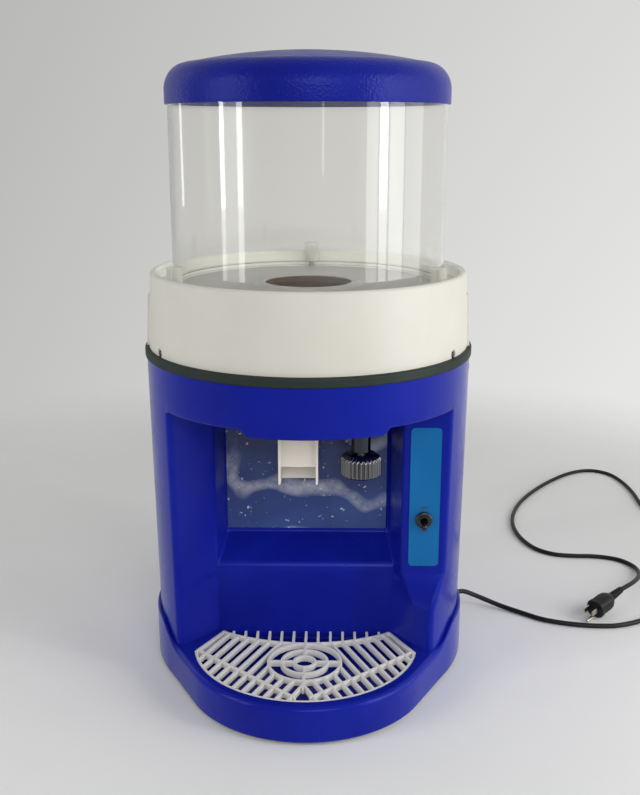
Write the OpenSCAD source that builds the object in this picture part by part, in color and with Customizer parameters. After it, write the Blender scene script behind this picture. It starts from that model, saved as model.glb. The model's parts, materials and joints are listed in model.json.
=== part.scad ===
// Countertop ice shaver: a round body with a front serving bay, a clear ice barrel and a lift-off lid.
// Lengths are in millimetres. Z is up, the front faces -Y and the table is at Z = 0.
// The pieces are drawn about the body's own axis, and at_axis() moves them so that the origin
// is the middle of the footprint.

/* [Base] */
// Height of the rubber feet
foot_h = 6; // [5:0.5:9]
// Radius of a rubber foot
foot_r = 10; // [8:0.5:12]
// Gap between the table and the lower edge of the base
base_gap = 4; // [3:0.5:5]
// Height of the front deck above the table
deck_z = 46; // [42:1:56]
// Height of the rim above the deck
rim_h = 20; // [12:1:28]
// Wall of the rim that stands round the body
rim_wall = 4.4; // [2:0.2:6]
// Side wall of the base
base_wall = 4; // [3:0.5:5]
// Thickness of the deck
deck_t = 4; // [3:0.5:5]
// Amount that the front lobe's radius is smaller than the round back's
lobe_step = 46.8; // [41:0.2:49]
// Distance from the body's axis to the lobe's centre
lobe_y = 96; // [92:1:102]
// Waist between the two round parts of the base, in degrees
waist_deg = 4; // [2:0.5:7]
// Thickness of the steel floor plate
floor_plate_t = 3; // [2:0.5:4]

/* [Drip grate] */
// Width of the deck that is left round the grate's front edge
grate_margin = 13; // [10:0.5:16]
// Height of the grate
grate_t = 7; // [5:0.5:9]
// Width of the grate's rim
grate_rim_w = 3.4; // [2.4:0.2:4.6]
// Width of a grate bar
grate_bar_w = 3; // [2.4:0.2:4]
// Distance between neighbouring grate bars
grate_pitch = 14.8; // [13:0.2:17]
// Slant of the grate's side bars, in degrees
grate_slant = 65; // [58:1:72]
// Middle radius of the largest ring in the grate
target_r = 42; // [36:1:46]
// Clearance round the grate
grate_gap = 0.8; // [0.5:0.1:1.5]
// Width of the ledge that the grate rests on
ledge_w = 3; // [2:0.5:7]
// Depth of the drip basin below the deck
basin_depth = 24; // [18:1:28]
// Wall of the drip basin
basin_wall = 3; // [2:0.5:4]

/* [Body] */
// Outer radius of the body at its top
body_top_r = 192; // [180:0.5:205]
// Amount that the body's radius is smaller at its foot
body_taper = 4; // [1:0.5:8]
// Height of the body shell
body_h = 338; // [330:1:350]
// Wall of the body shell
shell_t = 3; // [2:0.25:4]
// Clearance between the body and the rim of the base
seat_gap = 0.4; // [0.2:0.1:0.8]

/* [Serving bay] */
// Height of the bay's opening above the deck
bay_h = 289; // [280:1:296]
// Depth of the bay from the body's front to the lower back wall
bay_low_d = 125; // [120:1:130]
// Depth of the bay from the body's front to the upper back wall
bay_up_d = 162; // [158:1:166]
// Height of the lower back wall above the deck
bay_low_h = 86; // [80:1:96]
// Rise of the sloped shelf between the two back walls
shelf_rise = 29; // [16:1:32]
// Wall of the bay
bay_t = 3; // [2:0.25:4]
// Depth of the control face behind the body's front
control_d = 94; // [90:1:98]
// Distance sideways from the bay's lower corner to the control face's inner edge
control_step = 9; // [7:0.5:12]
// Height of the control face's lower edge above the deck
control_h = 90.5; // [88:0.5:100]
// Drop of the slope under the control face
control_slope_h = 40; // [30:1:45]
// Drop of the valance below the bay's top edge
valance_h = 7.5; // [5:0.5:12]
// Left end of the valance
valance_left = -60; // [-70:1:-50]
// Right end of the valance
valance_right = 84; // [76:1:90]

/* [Picture panel] */
// Width of the picture panel
panel_w = 194; // [180:1:196]
// Height of the picture panel
panel_h = 167; // [150:1:172]
// Thickness of the picture panel
panel_t = 2; // [1:0.25:3]
// Width of the bay's wall that is left beside the picture panel
panel_margin = 4; // [3:0.5:7]

/* [Collar and band] */
// Amount that the rubber band stands out beyond the body
band_proud = 2; // [1:0.25:4]
// Height of the rubber band
band_h = 11; // [8:0.5:14]
// Amount that the collar's foot stands in from the body's top
collar_inset = 3.2; // [2:0.2:5]
// Inward lean of the collar over its height
collar_lean = 3.8; // [2:0.2:5]
// Height of the collar
collar_h = 87; // [80:1:95]
// Wall of the collar's lower part
collar_wall = 4; // [3:0.25:5]
// Width of the collar's top edge
collar_rim_w = 8; // [6:0.5:9]
// Depth of the hopper floor below the collar's top edge
hopper_drop = 18; // [14:1:24]
// Width of a side pad on the collar
pad_w = 62; // [50:1:70]
// Height of a side pad on the collar
pad_h = 58; // [48:1:64]
// Amount that a side pad stands out
pad_proud = 2.6; // [1.5:0.1:3]

/* [Hopper and barrel] */
// Thickness of the hopper floor
hopper_t = 6; // [4:0.5:8]
// Radius of the ice hole in the hopper floor
throat_r = 51; // [46:1:56]
// Height of the raised lip round the ice hole
throat_lip_h = 3.5; // [2:0.5:6]
// Width of the trough between the clear barrel and the collar
trough_w = 18.5; // [16:0.5:22]
// Wall of the clear barrel
barrel_t = 4; // [3:0.5:5]
// Height of the clear barrel
barrel_h = 224; // [200:1:250]
// Thickness of the barrel's foot flange
flange_t = 5; // [4:0.5:7]
// Radius of a barrel stud
stud_r = 3; // [2.5:0.25:3.5]
// Height of a thumb nut
nut_h = 25; // [18:1:30]

/* [Lid] */
// Wall of the lid
lid_t = 2.4; // [2:0.2:3.5]
// Clearance between the lid and the barrel
lid_gap = 0.4; // [0.3:0.1:0.8]
// Depth of the lid's skirt below the barrel's top
lid_skirt = 21; // [15:1:28]
// Height of the lid's round shoulder
shoulder_h = 29; // [24:1:34]
// Width of the lid's round shoulder
shoulder_w = 26; // [20:1:32]
// Rise of the lid's dome
dome_h = 14; // [10:1:18]

/* [Ice shaving] */
// Outer radius of the shaving drum
drum_r = 112; // [108:1:116]
// Wall of the shaving drum
drum_t = 6; // [5:0.5:8]
// Thickness of the drum's floor
drum_floor_t = 10; // [8:0.5:12]
// Number of paddles on the impeller
paddle_count = 4; // [3:1:5]
// Thickness of a paddle
paddle_t = 6; // [5:0.5:8]
// Height of the paddles
paddle_h = 46; // [38:1:48]
// Gap between the paddles and the drum
paddle_gap = 3; // [2:0.5:4]
// Gap between the paddles and the drum's floor
sweep_gap = 4; // [3.5:0.25:5]
// Radius of the impeller's hub
hub_r = 22; // [19:0.5:26]
// Radius of the main shaft
shaft_r = 8; // [7:0.5:9]
// Thickness of the blade
blade_t = 3; // [2.5:0.25:4]
// Slope of the blade, in degrees
blade_deg = 25; // [20:1:30]
// Distance that the blade's edge stands above the drum's floor
blade_rise = 1.5; // [1.4:0.1:2]

/* [Chute] */
// Outer width of the ice chute
chute_w = 45; // [41:1:47]
// Outer depth of the ice chute
chute_d = 44; // [40:1:45]
// Wall of the ice chute
chute_t = 2.5; // [2:0.25:3]
// Distance from the axis sideways to the chute's middle
chute_x = -9.5; // [-11:0.5:-8]
// Distance from the axis forward to the chute's middle
chute_y = 86; // [85:0.5:87]
// Length of the chute below the bay's ceiling
chute_drop = 92.5; // [70:0.5:100]
// Height of the cut-back at the front of the chute's mouth
chute_cut = 27; // [10:1:30]
// Rise of the chute's mouth from its back edge to its front edge
chute_slant = 7; // [4:0.5:10]
// Depth that the chute's front panel lies behind its side walls
chute_recess = 3.5; // [2:0.5:5]

/* [Adjusting knob] */
// Distance from the axis sideways to the knob
knob_x = 62; // [60:1:66]
// Distance from the axis forward to the knob
knob_y = 92; // [90:1:94]
// Radius of the knob
knob_r = 23.5; // [20:0.5:25]
// Height of the knob
knob_h = 27; // [22:1:32]
// Number of flutes round the knob
knob_flutes = 28; // [20:2:36]
// Radius of the polished bush above the knob
bush_r = 11; // [10:0.2:13]
// Length of the polished bush below the bay's ceiling
bush_drop = 50; // [40:1:60]
// Radius of the adjusting screw
screw_r = 5; // [4:0.5:6]

/* [Switch] */
// Width of the control plate
plate_w = 35; // [32:0.5:38]
// Height of the control plate
plate_h = 168.5; // [150:0.5:172]
// Thickness of the control plate
plate_t = 1.2; // [0.8:0.1:2]
// Corner radius of the control plate
plate_corner_r = 5; // [3:0.5:8]
// Distance from the plate's foot up to the switch
switch_up = 58; // [45:1:70]
// Radius of the switch's round nut
switch_nut_r = 9.75; // [9:0.25:11]
// Length of the toggle lever
lever_len = 14; // [12:1:24]
// Swing of the toggle lever to each side of the middle, in degrees
lever_deg = 12; // [10:1:15]

/* [Drive] */
// Thickness of the top frame's plate
frame_t = 4; // [3:0.5:5]
// Radius of the main pulley
main_pulley_r = 53; // [50:0.5:54]
// Radius of the motor pulley
motor_pulley_r = 23; // [21:0.5:25]
// Height of a pulley
pulley_h = 12; // [11:0.5:13]
// Thickness of the belt
belt_t = 6; // [5:0.5:7]
// Distance from the motor's axis out to the body's side
motor_inset = 84; // [80:1:88]
// Radius of the motor
motor_r = 52; // [48:1:54]
// Height of the motor
motor_h = 130; // [110:1:140]
// Radius of the motor's shaft
motor_shaft_r = 6; // [5:0.5:7]
// Radius of a frame post
post_r = 8; // [6:0.5:9]
// Radius of the motor's capacitor
capacitor_r = 17.5; // [15:0.5:20]
// Height of the motor's capacitor
capacitor_h = 75; // [60:1:90]

/* [Mains lead] */
// Diameter of the mains lead
cord_d = 6.4; // [6:0.1:7]
// Angle of the gland behind the right-hand side, in degrees
gland_deg = 23; // [20:1:26]
// Height of the gland above the table
gland_z = 24; // [20:1:30]
// Length of the gland outside the base
gland_len = 24; // [20:1:30]

/* [Fits] */
// Running clearance on a radius
run_gap = 0.05; // [0.02:0.01:0.1]
// Clearance between parts that pass each other
pass_gap = 0.4; // [0.3:0.1:0.6]

/* [Hidden] */
$fn = 96;
eps = 0.01;

// Heights of the main levels
rim_z = deck_z + rim_h;
floor_top_z = foot_h + floor_plate_t;
body_top_z = deck_z + body_h;
band_top_z = body_top_z + band_h;
collar_top_z = band_top_z + collar_h;
hopper_z = collar_top_z - hopper_drop;
hopper_under_z = hopper_z - hopper_t;
barrel_top_z = hopper_z + barrel_h;
flange_top_z = hopper_z + flange_t;
bay_top_z = deck_z + bay_h;
shelf_z = deck_z + bay_low_h;
control_z = deck_z + control_h;
ceiling_z = bay_top_z + bay_t;

// Radii and plan sizes of the shells
body_foot_r = body_top_r - body_taper;
base_r = body_foot_r + seat_gap + rim_wall;
lobe_r = base_r - lobe_step;
band_r = body_top_r + band_proud;
front_reach = lobe_y + lobe_r;
axis_y = (front_reach - band_r) / 2;
collar_foot_r = body_top_r - collar_inset;
collar_top_r = collar_foot_r - collar_lean;
collar_bore_r = collar_top_r - collar_rim_w;
flange_r = collar_foot_r - collar_wall - pass_gap;
barrel_r = collar_bore_r - trough_w;
function body_r(z) = body_foot_r + (body_top_r - body_foot_r) * (z - deck_z) / body_h;
function collar_r(z) = collar_foot_r - collar_lean * (z - band_top_z) / collar_h;

// Plan of the serving bay, measured from the axis
bay_half_w = panel_w / 2 + panel_margin;
bay_low_y = body_top_r - bay_low_d;
bay_up_y = body_top_r - bay_up_d;
control_y = body_top_r - control_d;
control_x = bay_half_w + control_step;

// Drip grate and its basin
grate_r = lobe_r - grate_margin;
grate_x = -2;
grate_y = lobe_y - 2;
grate_z = deck_z - 1 - grate_t;
basin_z = deck_z - basin_depth;
pan_flange_w = 3;
pan_flange_t = 2.5;
grate_back_y = bay_low_y + 2;
target_back = 71;
target_y = grate_back_y + target_back;
rail_end = [27, 45];
rail_r = 200;
rail_y = -target_y + target_r + rail_r;

// Screw sizes, and the length of cuts that pass right through a wall
m5_r = 2.5;
m5_head_r = 4.5;
m4_r = 2;
m4_head_r = 3.8;
foot_screw_len = 20;
post_screw_len = 16;
cut_len = 60;

// Feet, frame posts and the well in the deck that the machinery stands in
back_foot_r = base_r - 17;
back_foot = [back_foot_r * cos(47), back_foot_r * sin(47)];
front_foot = [lobe_r, -lobe_y - 4];
feet_xy = [front_foot, [-front_foot.x, front_foot.y], back_foot, [-back_foot.x, back_foot.y]];
post_ring_r = body_foot_r - 36;
side_post = [post_ring_r * cos(4), post_ring_r * sin(4)];
back_post = [post_ring_r * cos(45), post_ring_r * sin(45)];
posts_xy = [side_post, [-side_post.x, side_post.y], back_post, [-back_post.x, back_post.y]];
well_r = body_foot_r - 23;
well_front_y = bay_low_y - 10;
boss_r = 8;

// Levels of the drive under the top frame
frame_skirt_h = 16;
frame_flange_h = 34;
frame_flange_t = 3.6;
frame_top_z = body_top_z - 8;
frame_z = frame_top_z - frame_t;
pulley_z = ceiling_z + 3;
pulley_top_z = pulley_z + pulley_h;
groove_h = pulley_h - 3.4;
belt_h = groove_h - 0.6;
belt_gap = 0.3;
main_groove_r = main_pulley_r - belt_t - 1;
motor_groove_r = motor_pulley_r - belt_t - 1;
housing_z = pulley_top_z + 1.5;
housing_r = 24;
bearing_r = 17.5;
bearing_h = 11;
drum_floor_z = frame_top_z + drum_floor_t;
paddle_z = drum_floor_z + sweep_gap;
hub_top_z = paddle_z + paddle_h - 6;

// Thumb nuts in the trough between the barrel and the collar
nut_gap = 0.4;
trough_r = (barrel_r + collar_bore_r) / 2;
nut_r = trough_w / 2 - nut_gap;
nut_deg = [90, -30, 210];

// Opening in the drum's floor for the blade and the shavings
slot_x = chute_x + 11.5;
slot_w = 60;
slot_d = chute_d;
carrier_w = slot_w / 2 - 1;
carrier_x = slot_x + slot_w / 2 - carrier_w / 2 - pass_gap;
arm_z = frame_z - 12;
arm_h = 8;
arm_w = 18;
mouth_z = bay_top_z - chute_drop;
chute_throat_h = frame_z - ceiling_z - 7;

// Knob levels
bush_z = bay_top_z - bush_drop;
knob_top_z = bush_z - 2;

// Control plate and switch
plate_z = control_z + 10;
plate_shift = 0.8;
control_out_x = sqrt(body_r(plate_z + plate_h / 2) ^ 2 - control_y ^ 2);
plate_x = (control_x + control_out_x) / 2 - plate_shift;
switch_z = plate_z + switch_up;
switch_x = plate_x - 0.5;
bushing_r = 6;

// Motor bracket and capacitor
drive_span = body_top_r - motor_inset;
bracket_half_w = motor_r + 12;
bracket_d = 2 * motor_r;
bracket_t = 4;
bracket_lug = 12;
web_z = pulley_z - 6;
motor_top_z = web_z - bracket_t;
capacitor_xy = [25 - back_post.x, back_post.y - 24];
terminal_xy = [back_post.x - 12, back_post.y - 48];

// Mains lead: its route from the gland to the plug, lying on the table after it has dropped.
// The points are for an exit at route_start, and they move with the real one.
gland_tip_r = base_r + gland_len;
cord_exit = [gland_tip_r * cos(gland_deg), axis_y + gland_tip_r * sin(gland_deg), gland_z];
route_start = [198, 108];
lie_z = 3.3;
route_points = [
    [210, 113, 23], [230, 116, 14], [258, 107, 5.5], [286, 89, lie_z],
    [310, 71, lie_z], [335, 61, lie_z], [362, 55, lie_z], [388, 53, lie_z], [412, 56, lie_z],
    [444, 70, lie_z], [484, 98, lie_z], [524, 145, lie_z], [556, 210, lie_z], [576, 285, lie_z],
    [583, 360, lie_z], [576, 430, lie_z], [568, 495, lie_z], [570, 560, lie_z], [566, 617, lie_z],
    [552, 662, lie_z], [522, 681, lie_z], [484, 668, lie_z], [442, 630, lie_z], [398, 575, lie_z],
    [360, 513, lie_z], [336, 452, lie_z], [327, 398, lie_z], [331, 347, lie_z], [346, 307, lie_z],
    [370, 286, lie_z], [398, 280, lie_z], [424, 279, lie_z], [446, 275, lie_z], [465, 266, lie_z],
    [477, 251, lie_z], [482, 232, 4.5], [479, 208, 8], [470, 182, 13.5], [457, 157, 19],
    [443, 137, 22.5], [428, 122, 23]
];
cord_route = concat(
    [cord_exit],
    [for (p = route_points) [p.x - route_start.x + cord_exit.x, p.y - route_start.y + cord_exit.y, p.z]]
);
cord_sides = 10;
cord_steps = 2;

// Plug: it lies nose down with its round pin below, and its pins are at standard spacing
plug_tail = cord_route[len(cord_route) - 1];
plug_deg = 223;
plug_tilt = 8;
plug_dir = [cos(plug_deg) * cos(plug_tilt), sin(plug_deg) * cos(plug_tilt), -sin(plug_tilt)];
boot_len = 26;
plug_len = 38;
plug_r = 12.3;
pin_spacing = 12.7;
pin_len = 17;
pin_rise = 3;
earth_drop = 11.9;

// Plain helpers

// Moves a piece from the body's axis to the middle of the footprint
module at_axis() {
    translate([0, axis_y, 0]) children();
}

// Repeats a piece about the axis at the given angles
module round_axis(angles) {
    for (a = angles) rotate([0, 0, a]) children();
}

function unit(v) = v / norm(v);

// Moves every edge of a polygon outwards by t, for corners that run anticlockwise
function grow(p, t) = [
    for (i = [0 : len(p) - 1])
        let (
            u = unit(p[i] - p[(i + len(p) - 1) % len(p)]),
            v = unit(p[(i + 1) % len(p)] - p[i]),
            m = [u.y, -u.x],
            n = [v.y, -v.x]
        )
        p[i] + t * (m + n) / (1 + m * n)
];

// A ring or tube
module tube(r_out, r_in, h) {
    difference() {
        cylinder(r = r_out, h = h);
        translate([0, 0, -1]) cylinder(r = r_in, h = h + 2);
    }
}

// Round holes that run outwards from the axis at the given angles, starting at radius start
module radial_holes(angles, z, r, start) {
    for (a = angles)
        rotate([0, 0, a]) translate([start, 0, z]) rotate([0, 90, 0]) cylinder(r = r, h = cut_len, $fn = 48);
}

// A machine screw that points down, with its head's underside at Z = 0
module screw_down(r, head_r, head_h, len) {
    cylinder(r = head_r, h = head_h);
    translate([0, 0, -len]) cylinder(r = r, h = len);
}

// Two round lobes joined by straight sides, the second one lying at distance c along -Y
module two_lobes(r1, r2, c, waist) {
    a = asin((r1 - r2) / c);
    near = a + waist;
    far = a - waist;
    circle(r = r1);
    translate([0, -c]) circle(r = r2);
    polygon([
        [r1 * cos(near), -r1 * sin(near)],
        [-r1 * cos(near), -r1 * sin(near)],
        [-r2 * cos(far), -c - r2 * sin(far)],
        [r2 * cos(far), -c - r2 * sin(far)]
    ]);
}

// Rounded rectangle about the origin
module round_rect(w, h, r) {
    square([w - 2 * r, h], center = true);
    square([w, h - 2 * r], center = true);
    for (x = [-1, 1], y = [-1, 1]) translate([x * (w / 2 - r), y * (h / 2 - r)]) circle(r = r, $fn = 48);
}

// A fluted grip: a cylinder with round grooves cut along its side
module fluted(r, h, count, groove_r) {
    difference() {
        cylinder(r = r, h = h);
        for (i = [0 : count - 1])
            rotate([0, 0, 360 * i / count])
                translate([r + groove_r * 0.35, 0, -1])
                    cylinder(r = groove_r, h = h + 2, $fn = 24);
    }
}

// Base and drip grate

module base_plan(inset) {
    two_lobes(base_r - inset, lobe_r - inset, lobe_y, waist_deg);
}

// Plan of the grate, grown outwards by g
module grate_plan(g) {
    lean = tan(90 - 60.5);
    reach = 75;
    translate([grate_x, 0]) intersection() {
        translate([0, -grate_y]) circle(r = grate_r + g);
        polygon(grow([
            [bay_half_w + 1, -grate_back_y],
            [-bay_half_w - 1, -grate_back_y],
            [-bay_half_w - 1 - reach * lean, -grate_back_y - reach],
            [-bay_half_w - 1 - reach * lean, -front_reach],
            [bay_half_w + 1 + reach * lean, -front_reach],
            [bay_half_w + 1 + reach * lean, -grate_back_y - reach]
        ], g));
    }
}

// Rim round the body, sloped down to the deck at its two front ends
module base_rim() {
    slope_y = lobe_y + 16;
    slope_len = 46;
    difference() {
        translate([0, 0, deck_z - eps]) tube(base_r, body_foot_r + seat_gap, rim_h + eps);
        rotate([90, 0, 90])
            translate([0, 0, -base_r - 1])
                linear_extrude(2 * base_r + 2)
                    polygon([
                        [-base_r - 1, deck_z - 1],
                        [-slope_y, deck_z - 1],
                        [-slope_y + slope_len, rim_z + 1],
                        [-base_r - 1, rim_z + 1]
                    ]);
    }
}

module base_tray() color([0.13, 0.16, 0.62]) {
    difference() {
        union() {
            difference() {
                translate([0, 0, base_gap]) linear_extrude(deck_z - base_gap) base_plan(0);
                translate([0, 0, base_gap - 1])
                    linear_extrude(deck_z - deck_t - base_gap + 1) base_plan(base_wall);
            }
            base_rim();
            for (p = feet_xy)
                translate([p.x, p.y, floor_top_z]) cylinder(r = boss_r, h = deck_z - floor_top_z);
        }
        translate([0, 0, deck_z - deck_t - 1])
            linear_extrude(deck_t + 2) grate_plan(grate_gap + basin_wall + seat_gap);
        translate([0, 0, deck_z - deck_t - 1])
            linear_extrude(deck_t + 2)
                intersection() {
                    circle(r = well_r);
                    translate([-well_r, -well_front_y]) square(2 * well_r);
                }
        for (p = feet_xy)
            translate([p.x, p.y, floor_top_z - 1]) cylinder(r = m5_r, h = foot_screw_len + 1, $fn = 32);
        radial_holes([gland_deg], gland_z, gland_neck_r + run_gap, base_r - base_wall - 20);
    }
}

// Pan that hangs in the deck, with a flange under the deck and a ledge for the grate
module drip_pan() color([0.12, 0.15, 0.58]) {
    difference() {
        union() {
            translate([0, 0, basin_z - basin_wall])
                linear_extrude(basin_depth + basin_wall) grate_plan(grate_gap + basin_wall);
            translate([0, 0, deck_z - deck_t - pan_flange_t])
                linear_extrude(pan_flange_t) grate_plan(grate_gap + basin_wall + pan_flange_w);
        }
        translate([0, 0, grate_z]) linear_extrude(deck_z) grate_plan(grate_gap);
        translate([0, 0, basin_z]) linear_extrude(deck_z) grate_plan(-ledge_w);
    }
}

module floor_plate() color("silver") {
    difference() {
        translate([0, 0, foot_h]) linear_extrude(floor_plate_t) base_plan(base_wall + 1);
        for (p = concat(feet_xy, posts_xy))
            translate([p.x, p.y, foot_h - 1]) cylinder(r = m5_r + 0.3, h = floor_plate_t + 2, $fn = 32);
    }
}

module rubber_feet() color([0.05, 0.05, 0.05]) {
    for (p = feet_xy)
        translate([p.x, p.y, 0])
            difference() {
                rotate_extrude()
                    polygon([[0, 0], [foot_r - 1.5, 0], [foot_r, 1.5], [foot_r - 1, foot_h], [0, foot_h]]);
                translate([0, 0, -1]) cylinder(r = m5_head_r + 0.8, h = foot_h - 1);
                translate([0, 0, -1]) cylinder(r = m5_r + 0.3, h = foot_h + 2, $fn = 32);
            }
}

module foot_screws() color("silver") {
    for (p = feet_xy)
        translate([p.x, p.y, foot_h - 2]) mirror([0, 0, 1]) screw_down(m5_r, m5_head_r, 3, foot_screw_len);
}

// Grate bars: straight back bars, slanted side bars, a target of rings and two rails to the front
module grate_bars() {
    w = grate_bar_w;
    bar_back = cut_len / 2;
    count = floor((bay_half_w - 4) / grate_pitch);
    // arc rail that the back bars end on
    intersection() {
        difference() {
            translate([0, rail_y]) circle(r = rail_r + w / 2);
            translate([0, rail_y]) circle(r = rail_r - w / 2);
        }
        translate([-grate_r - 10, -target_y]) square([2 * grate_r + 20, target_y]);
    }
    // back bars
    for (i = [-count : count])
        let (x = i * grate_pitch, y = rail_y - sqrt(rail_r * rail_r - x * x))
            translate([x - w / 2, y]) square([w, -grate_back_y - y]);
    // target rings and spokes
    translate([0, -target_y])
        for (r = [target_r, target_r * 0.63, target_r * 0.29])
            difference() {
                circle(r = r + w / 2);
                circle(r = r - w / 2);
            }
    for (a = [0, 90, 180, 270])
        translate([0, -target_y])
            rotate([0, 0, a])
                translate([target_r * 0.29, -w / 2])
                    square([(a == 270 ? 0.42 : 0) * target_r + target_r * 0.71, w]);
    // slanted side bars, one set on each half
    for (side = [-1, 1])
        difference() {
            intersection() {
                for (i = [-3 : count + 4])
                    translate([side * i * grate_pitch, rail_y - rail_r + 4])
                        rotate([0, 0, -90 - side * (grate_slant - 90)])
                            translate([-bar_back, -w / 2]) square([grate_r + cut_len, w]);
                translate([side > 0 ? 0 : -grate_r - 10, -front_reach]) square([grate_r + 10, front_reach]);
            }
            translate([0, -target_y]) circle(r = target_r);
            translate([0, rail_y]) circle(r = rail_r);
        }
    // rails from the side corners to the front
    for (side = [-1, 1])
        let (
            a = [side * (bay_half_w + rail_end.x), -grate_back_y - rail_end.y],
            b = [side * 8, -grate_y - grate_r + 10],
            d = b - a
        )
            translate(a) rotate([0, 0, atan2(d.y, d.x)]) translate([0, -w / 2]) square([norm(d), w]);
}

// Space behind the arc rail, where the back bars end without a rim
module grate_open_back() {
    half_w = bay_half_w + 1 - grate_rim_w;
    intersection() {
        translate([0, rail_y]) circle(r = rail_r - grate_bar_w / 2);
        translate([-half_w, -target_y]) square([2 * half_w, target_y]);
    }
}

module drip_grate() color([0.88, 0.87, 0.8]) {
    translate([0, 0, grate_z])
        linear_extrude(grate_t) {
            difference() {
                grate_plan(0);
                difference() {
                    union() {
                        grate_plan(-grate_rim_w);
                        translate([grate_x, 0]) grate_open_back();
                    }
                    translate([grate_x, 0]) grate_bars();
                }
            }
        }
}

// Body and serving bay

// Plan of the bay below and above the control face's lower edge, seen from above
jamb_run = [-45, -47];
bay_left = [-bay_half_w - 8, -bay_low_y];
bay_left_out = bay_left + 2.2 * jamb_run;
far_y = -front_reach;
far_x = base_r + 29;
bay_right = [bay_half_w + 25, -bay_low_y - 36];
bay_right_out = bay_right + [80, -72];
bay_low_plan = [
    bay_left, bay_left_out, [bay_left_out.x, far_y], [bay_right_out.x, far_y], bay_right_out,
    bay_right, [bay_half_w, -bay_low_y]
];
bay_up_plan = [
    [-bay_half_w + 1, -bay_up_y], bay_left, bay_left_out, [bay_left_out.x, far_y], [far_x, far_y],
    [far_x, -control_y], [control_x, -control_y], [bay_half_w + 3, -bay_low_y], [bay_half_w - 3, -bay_up_y]
];

// Space inside the bay, grown outwards by t
module bay_space(t) {
    slope_run = 24;
    difference() {
        union() {
            translate([0, 0, deck_z - 1])
                linear_extrude(control_z - deck_z + 1) polygon(grow(bay_low_plan, t));
            translate([0, 0, control_z])
                linear_extrude(bay_top_z + t - control_z) polygon(grow(bay_up_plan, t));
            // slope in front of the control face
            rotate([90, 0, 90])
                translate([0, 0, bay_half_w + 20])
                    linear_extrude(far_x - bay_half_w - 20)
                        polygon([
                            [-control_y + t, control_z],
                            [-control_y - slope_run + t, control_z - control_slope_h],
                            [far_y, control_z - control_slope_h],
                            [far_y, control_z]
                        ]);
        }
        // shelf between the lower and the upper back wall
        rotate([90, 0, 90])
            translate([0, 0, -bay_half_w - 20])
                linear_extrude(2 * bay_half_w + 40)
                    polygon([
                        [-bay_low_y + t, deck_z - 2],
                        [-bay_low_y + t, shelf_z - t],
                        [-bay_up_y + t + 1, shelf_z - t + shelf_rise + 0.5],
                        [-bay_up_y + t + 1, deck_z - 2]
                    ]);
        // taper from the control face's inner edge to the lower wall
        if (t == 0) control_taper();
    }
}

// Wedge that fills the space under the control face, steep enough to end on the lower wall
module control_taper() {
    corner = [bay_half_w + 3, -bay_low_y];
    run = [control_x, -control_y] - corner;
    reach = 15;
    intersection() {
        translate([corner.x, corner.y, control_z])
            rotate([0, 0, atan2(run.y, run.x)])
                rotate([90, 0, 90])
                    translate([0, 0, -12])
                        linear_extrude(cut_len)
                            polygon([[-0.5, 0], [reach, 0], [reach, -control_slope_h - 2]]);
        translate([corner.x - cut_len / 3, -control_y, control_z - cut_len])
            cube([cut_len, control_y - bay_low_y + 3, cut_len]);
    }
}

// Space that the bay leaves in the body's wall, with the valance left standing
module bay_opening() {
    difference() {
        bay_space(0);
        rotate([90, 0, 0])
            linear_extrude(front_reach)
                polygon([
                    [valance_left - valance_h, bay_top_z + 1],
                    [valance_left, bay_top_z - valance_h],
                    [valance_right, bay_top_z - valance_h],
                    [valance_right + valance_h, bay_top_z + 1]
                ]);
    }
}

body_screw_deg = [0, 90, 180];
body_screw_z = frame_z - 8;
body_screw_r = body_r(body_screw_z) + 0.1;

module body_shell() color([0.13, 0.16, 0.62]) {
    difference() {
        rotate_extrude($fn = 180)
            polygon([
                [body_foot_r - shell_t, deck_z],
                [body_foot_r, deck_z],
                [body_top_r, body_top_z],
                [body_top_r - shell_t, body_top_z]
            ]);
        bay_opening();
        radial_holes(body_screw_deg, body_screw_z, m4_r + 0.2, body_screw_r - 12);
    }
}

module serving_bay() color([0.12, 0.15, 0.58]) {
    difference() {
        intersection() {
            bay_space(bay_t);
            translate([0, 0, deck_z])
                cylinder(
                    r1 = body_foot_r - shell_t - seat_gap,
                    r2 = body_r(ceiling_z) - shell_t - seat_gap,
                    h = bay_h + bay_t,
                    $fn = 180
                );
        }
        bay_space(0);
        // passages for the chute, the bush and the switch
        translate([chute_x, -chute_y, bay_top_z])
            cube([chute_w + 2 * pass_gap, chute_d + 2 * pass_gap, 20], center = true);
        translate([knob_x, -knob_y, bay_top_z - 1]) cylinder(r = bush_r - 2, h = bay_t + 2);
        translate([switch_x, -control_y - 1, switch_z])
            rotate([-90, 0, 0]) cylinder(r = bushing_r + run_gap, h = bay_t + 2);
    }
}

module picture_panel() color([0.25, 0.45, 0.7]) {
    panel_x = -2;
    translate([panel_x - panel_w / 2, -bay_up_y - panel_t, bay_top_z - 2 - panel_h])
        cube([panel_w, panel_t, panel_h]);
}

module body_screws() color("dimgray") {
    round_axis(body_screw_deg)
        translate([body_screw_r, 0, body_screw_z])
            rotate([0, 90, 0]) screw_down(m4_r, m4_head_r, 1.6, 11);
}

// Frame that carries the machinery

module frame_posts() color("silver") {
    for (p = posts_xy)
        difference() {
            translate([p.x, p.y, floor_top_z]) cylinder(r = post_r, h = frame_z - floor_top_z);
            translate([p.x, p.y, frame_z - post_screw_len]) cylinder(r = m5_r, h = cut_len, $fn = 32);
        }
}

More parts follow.
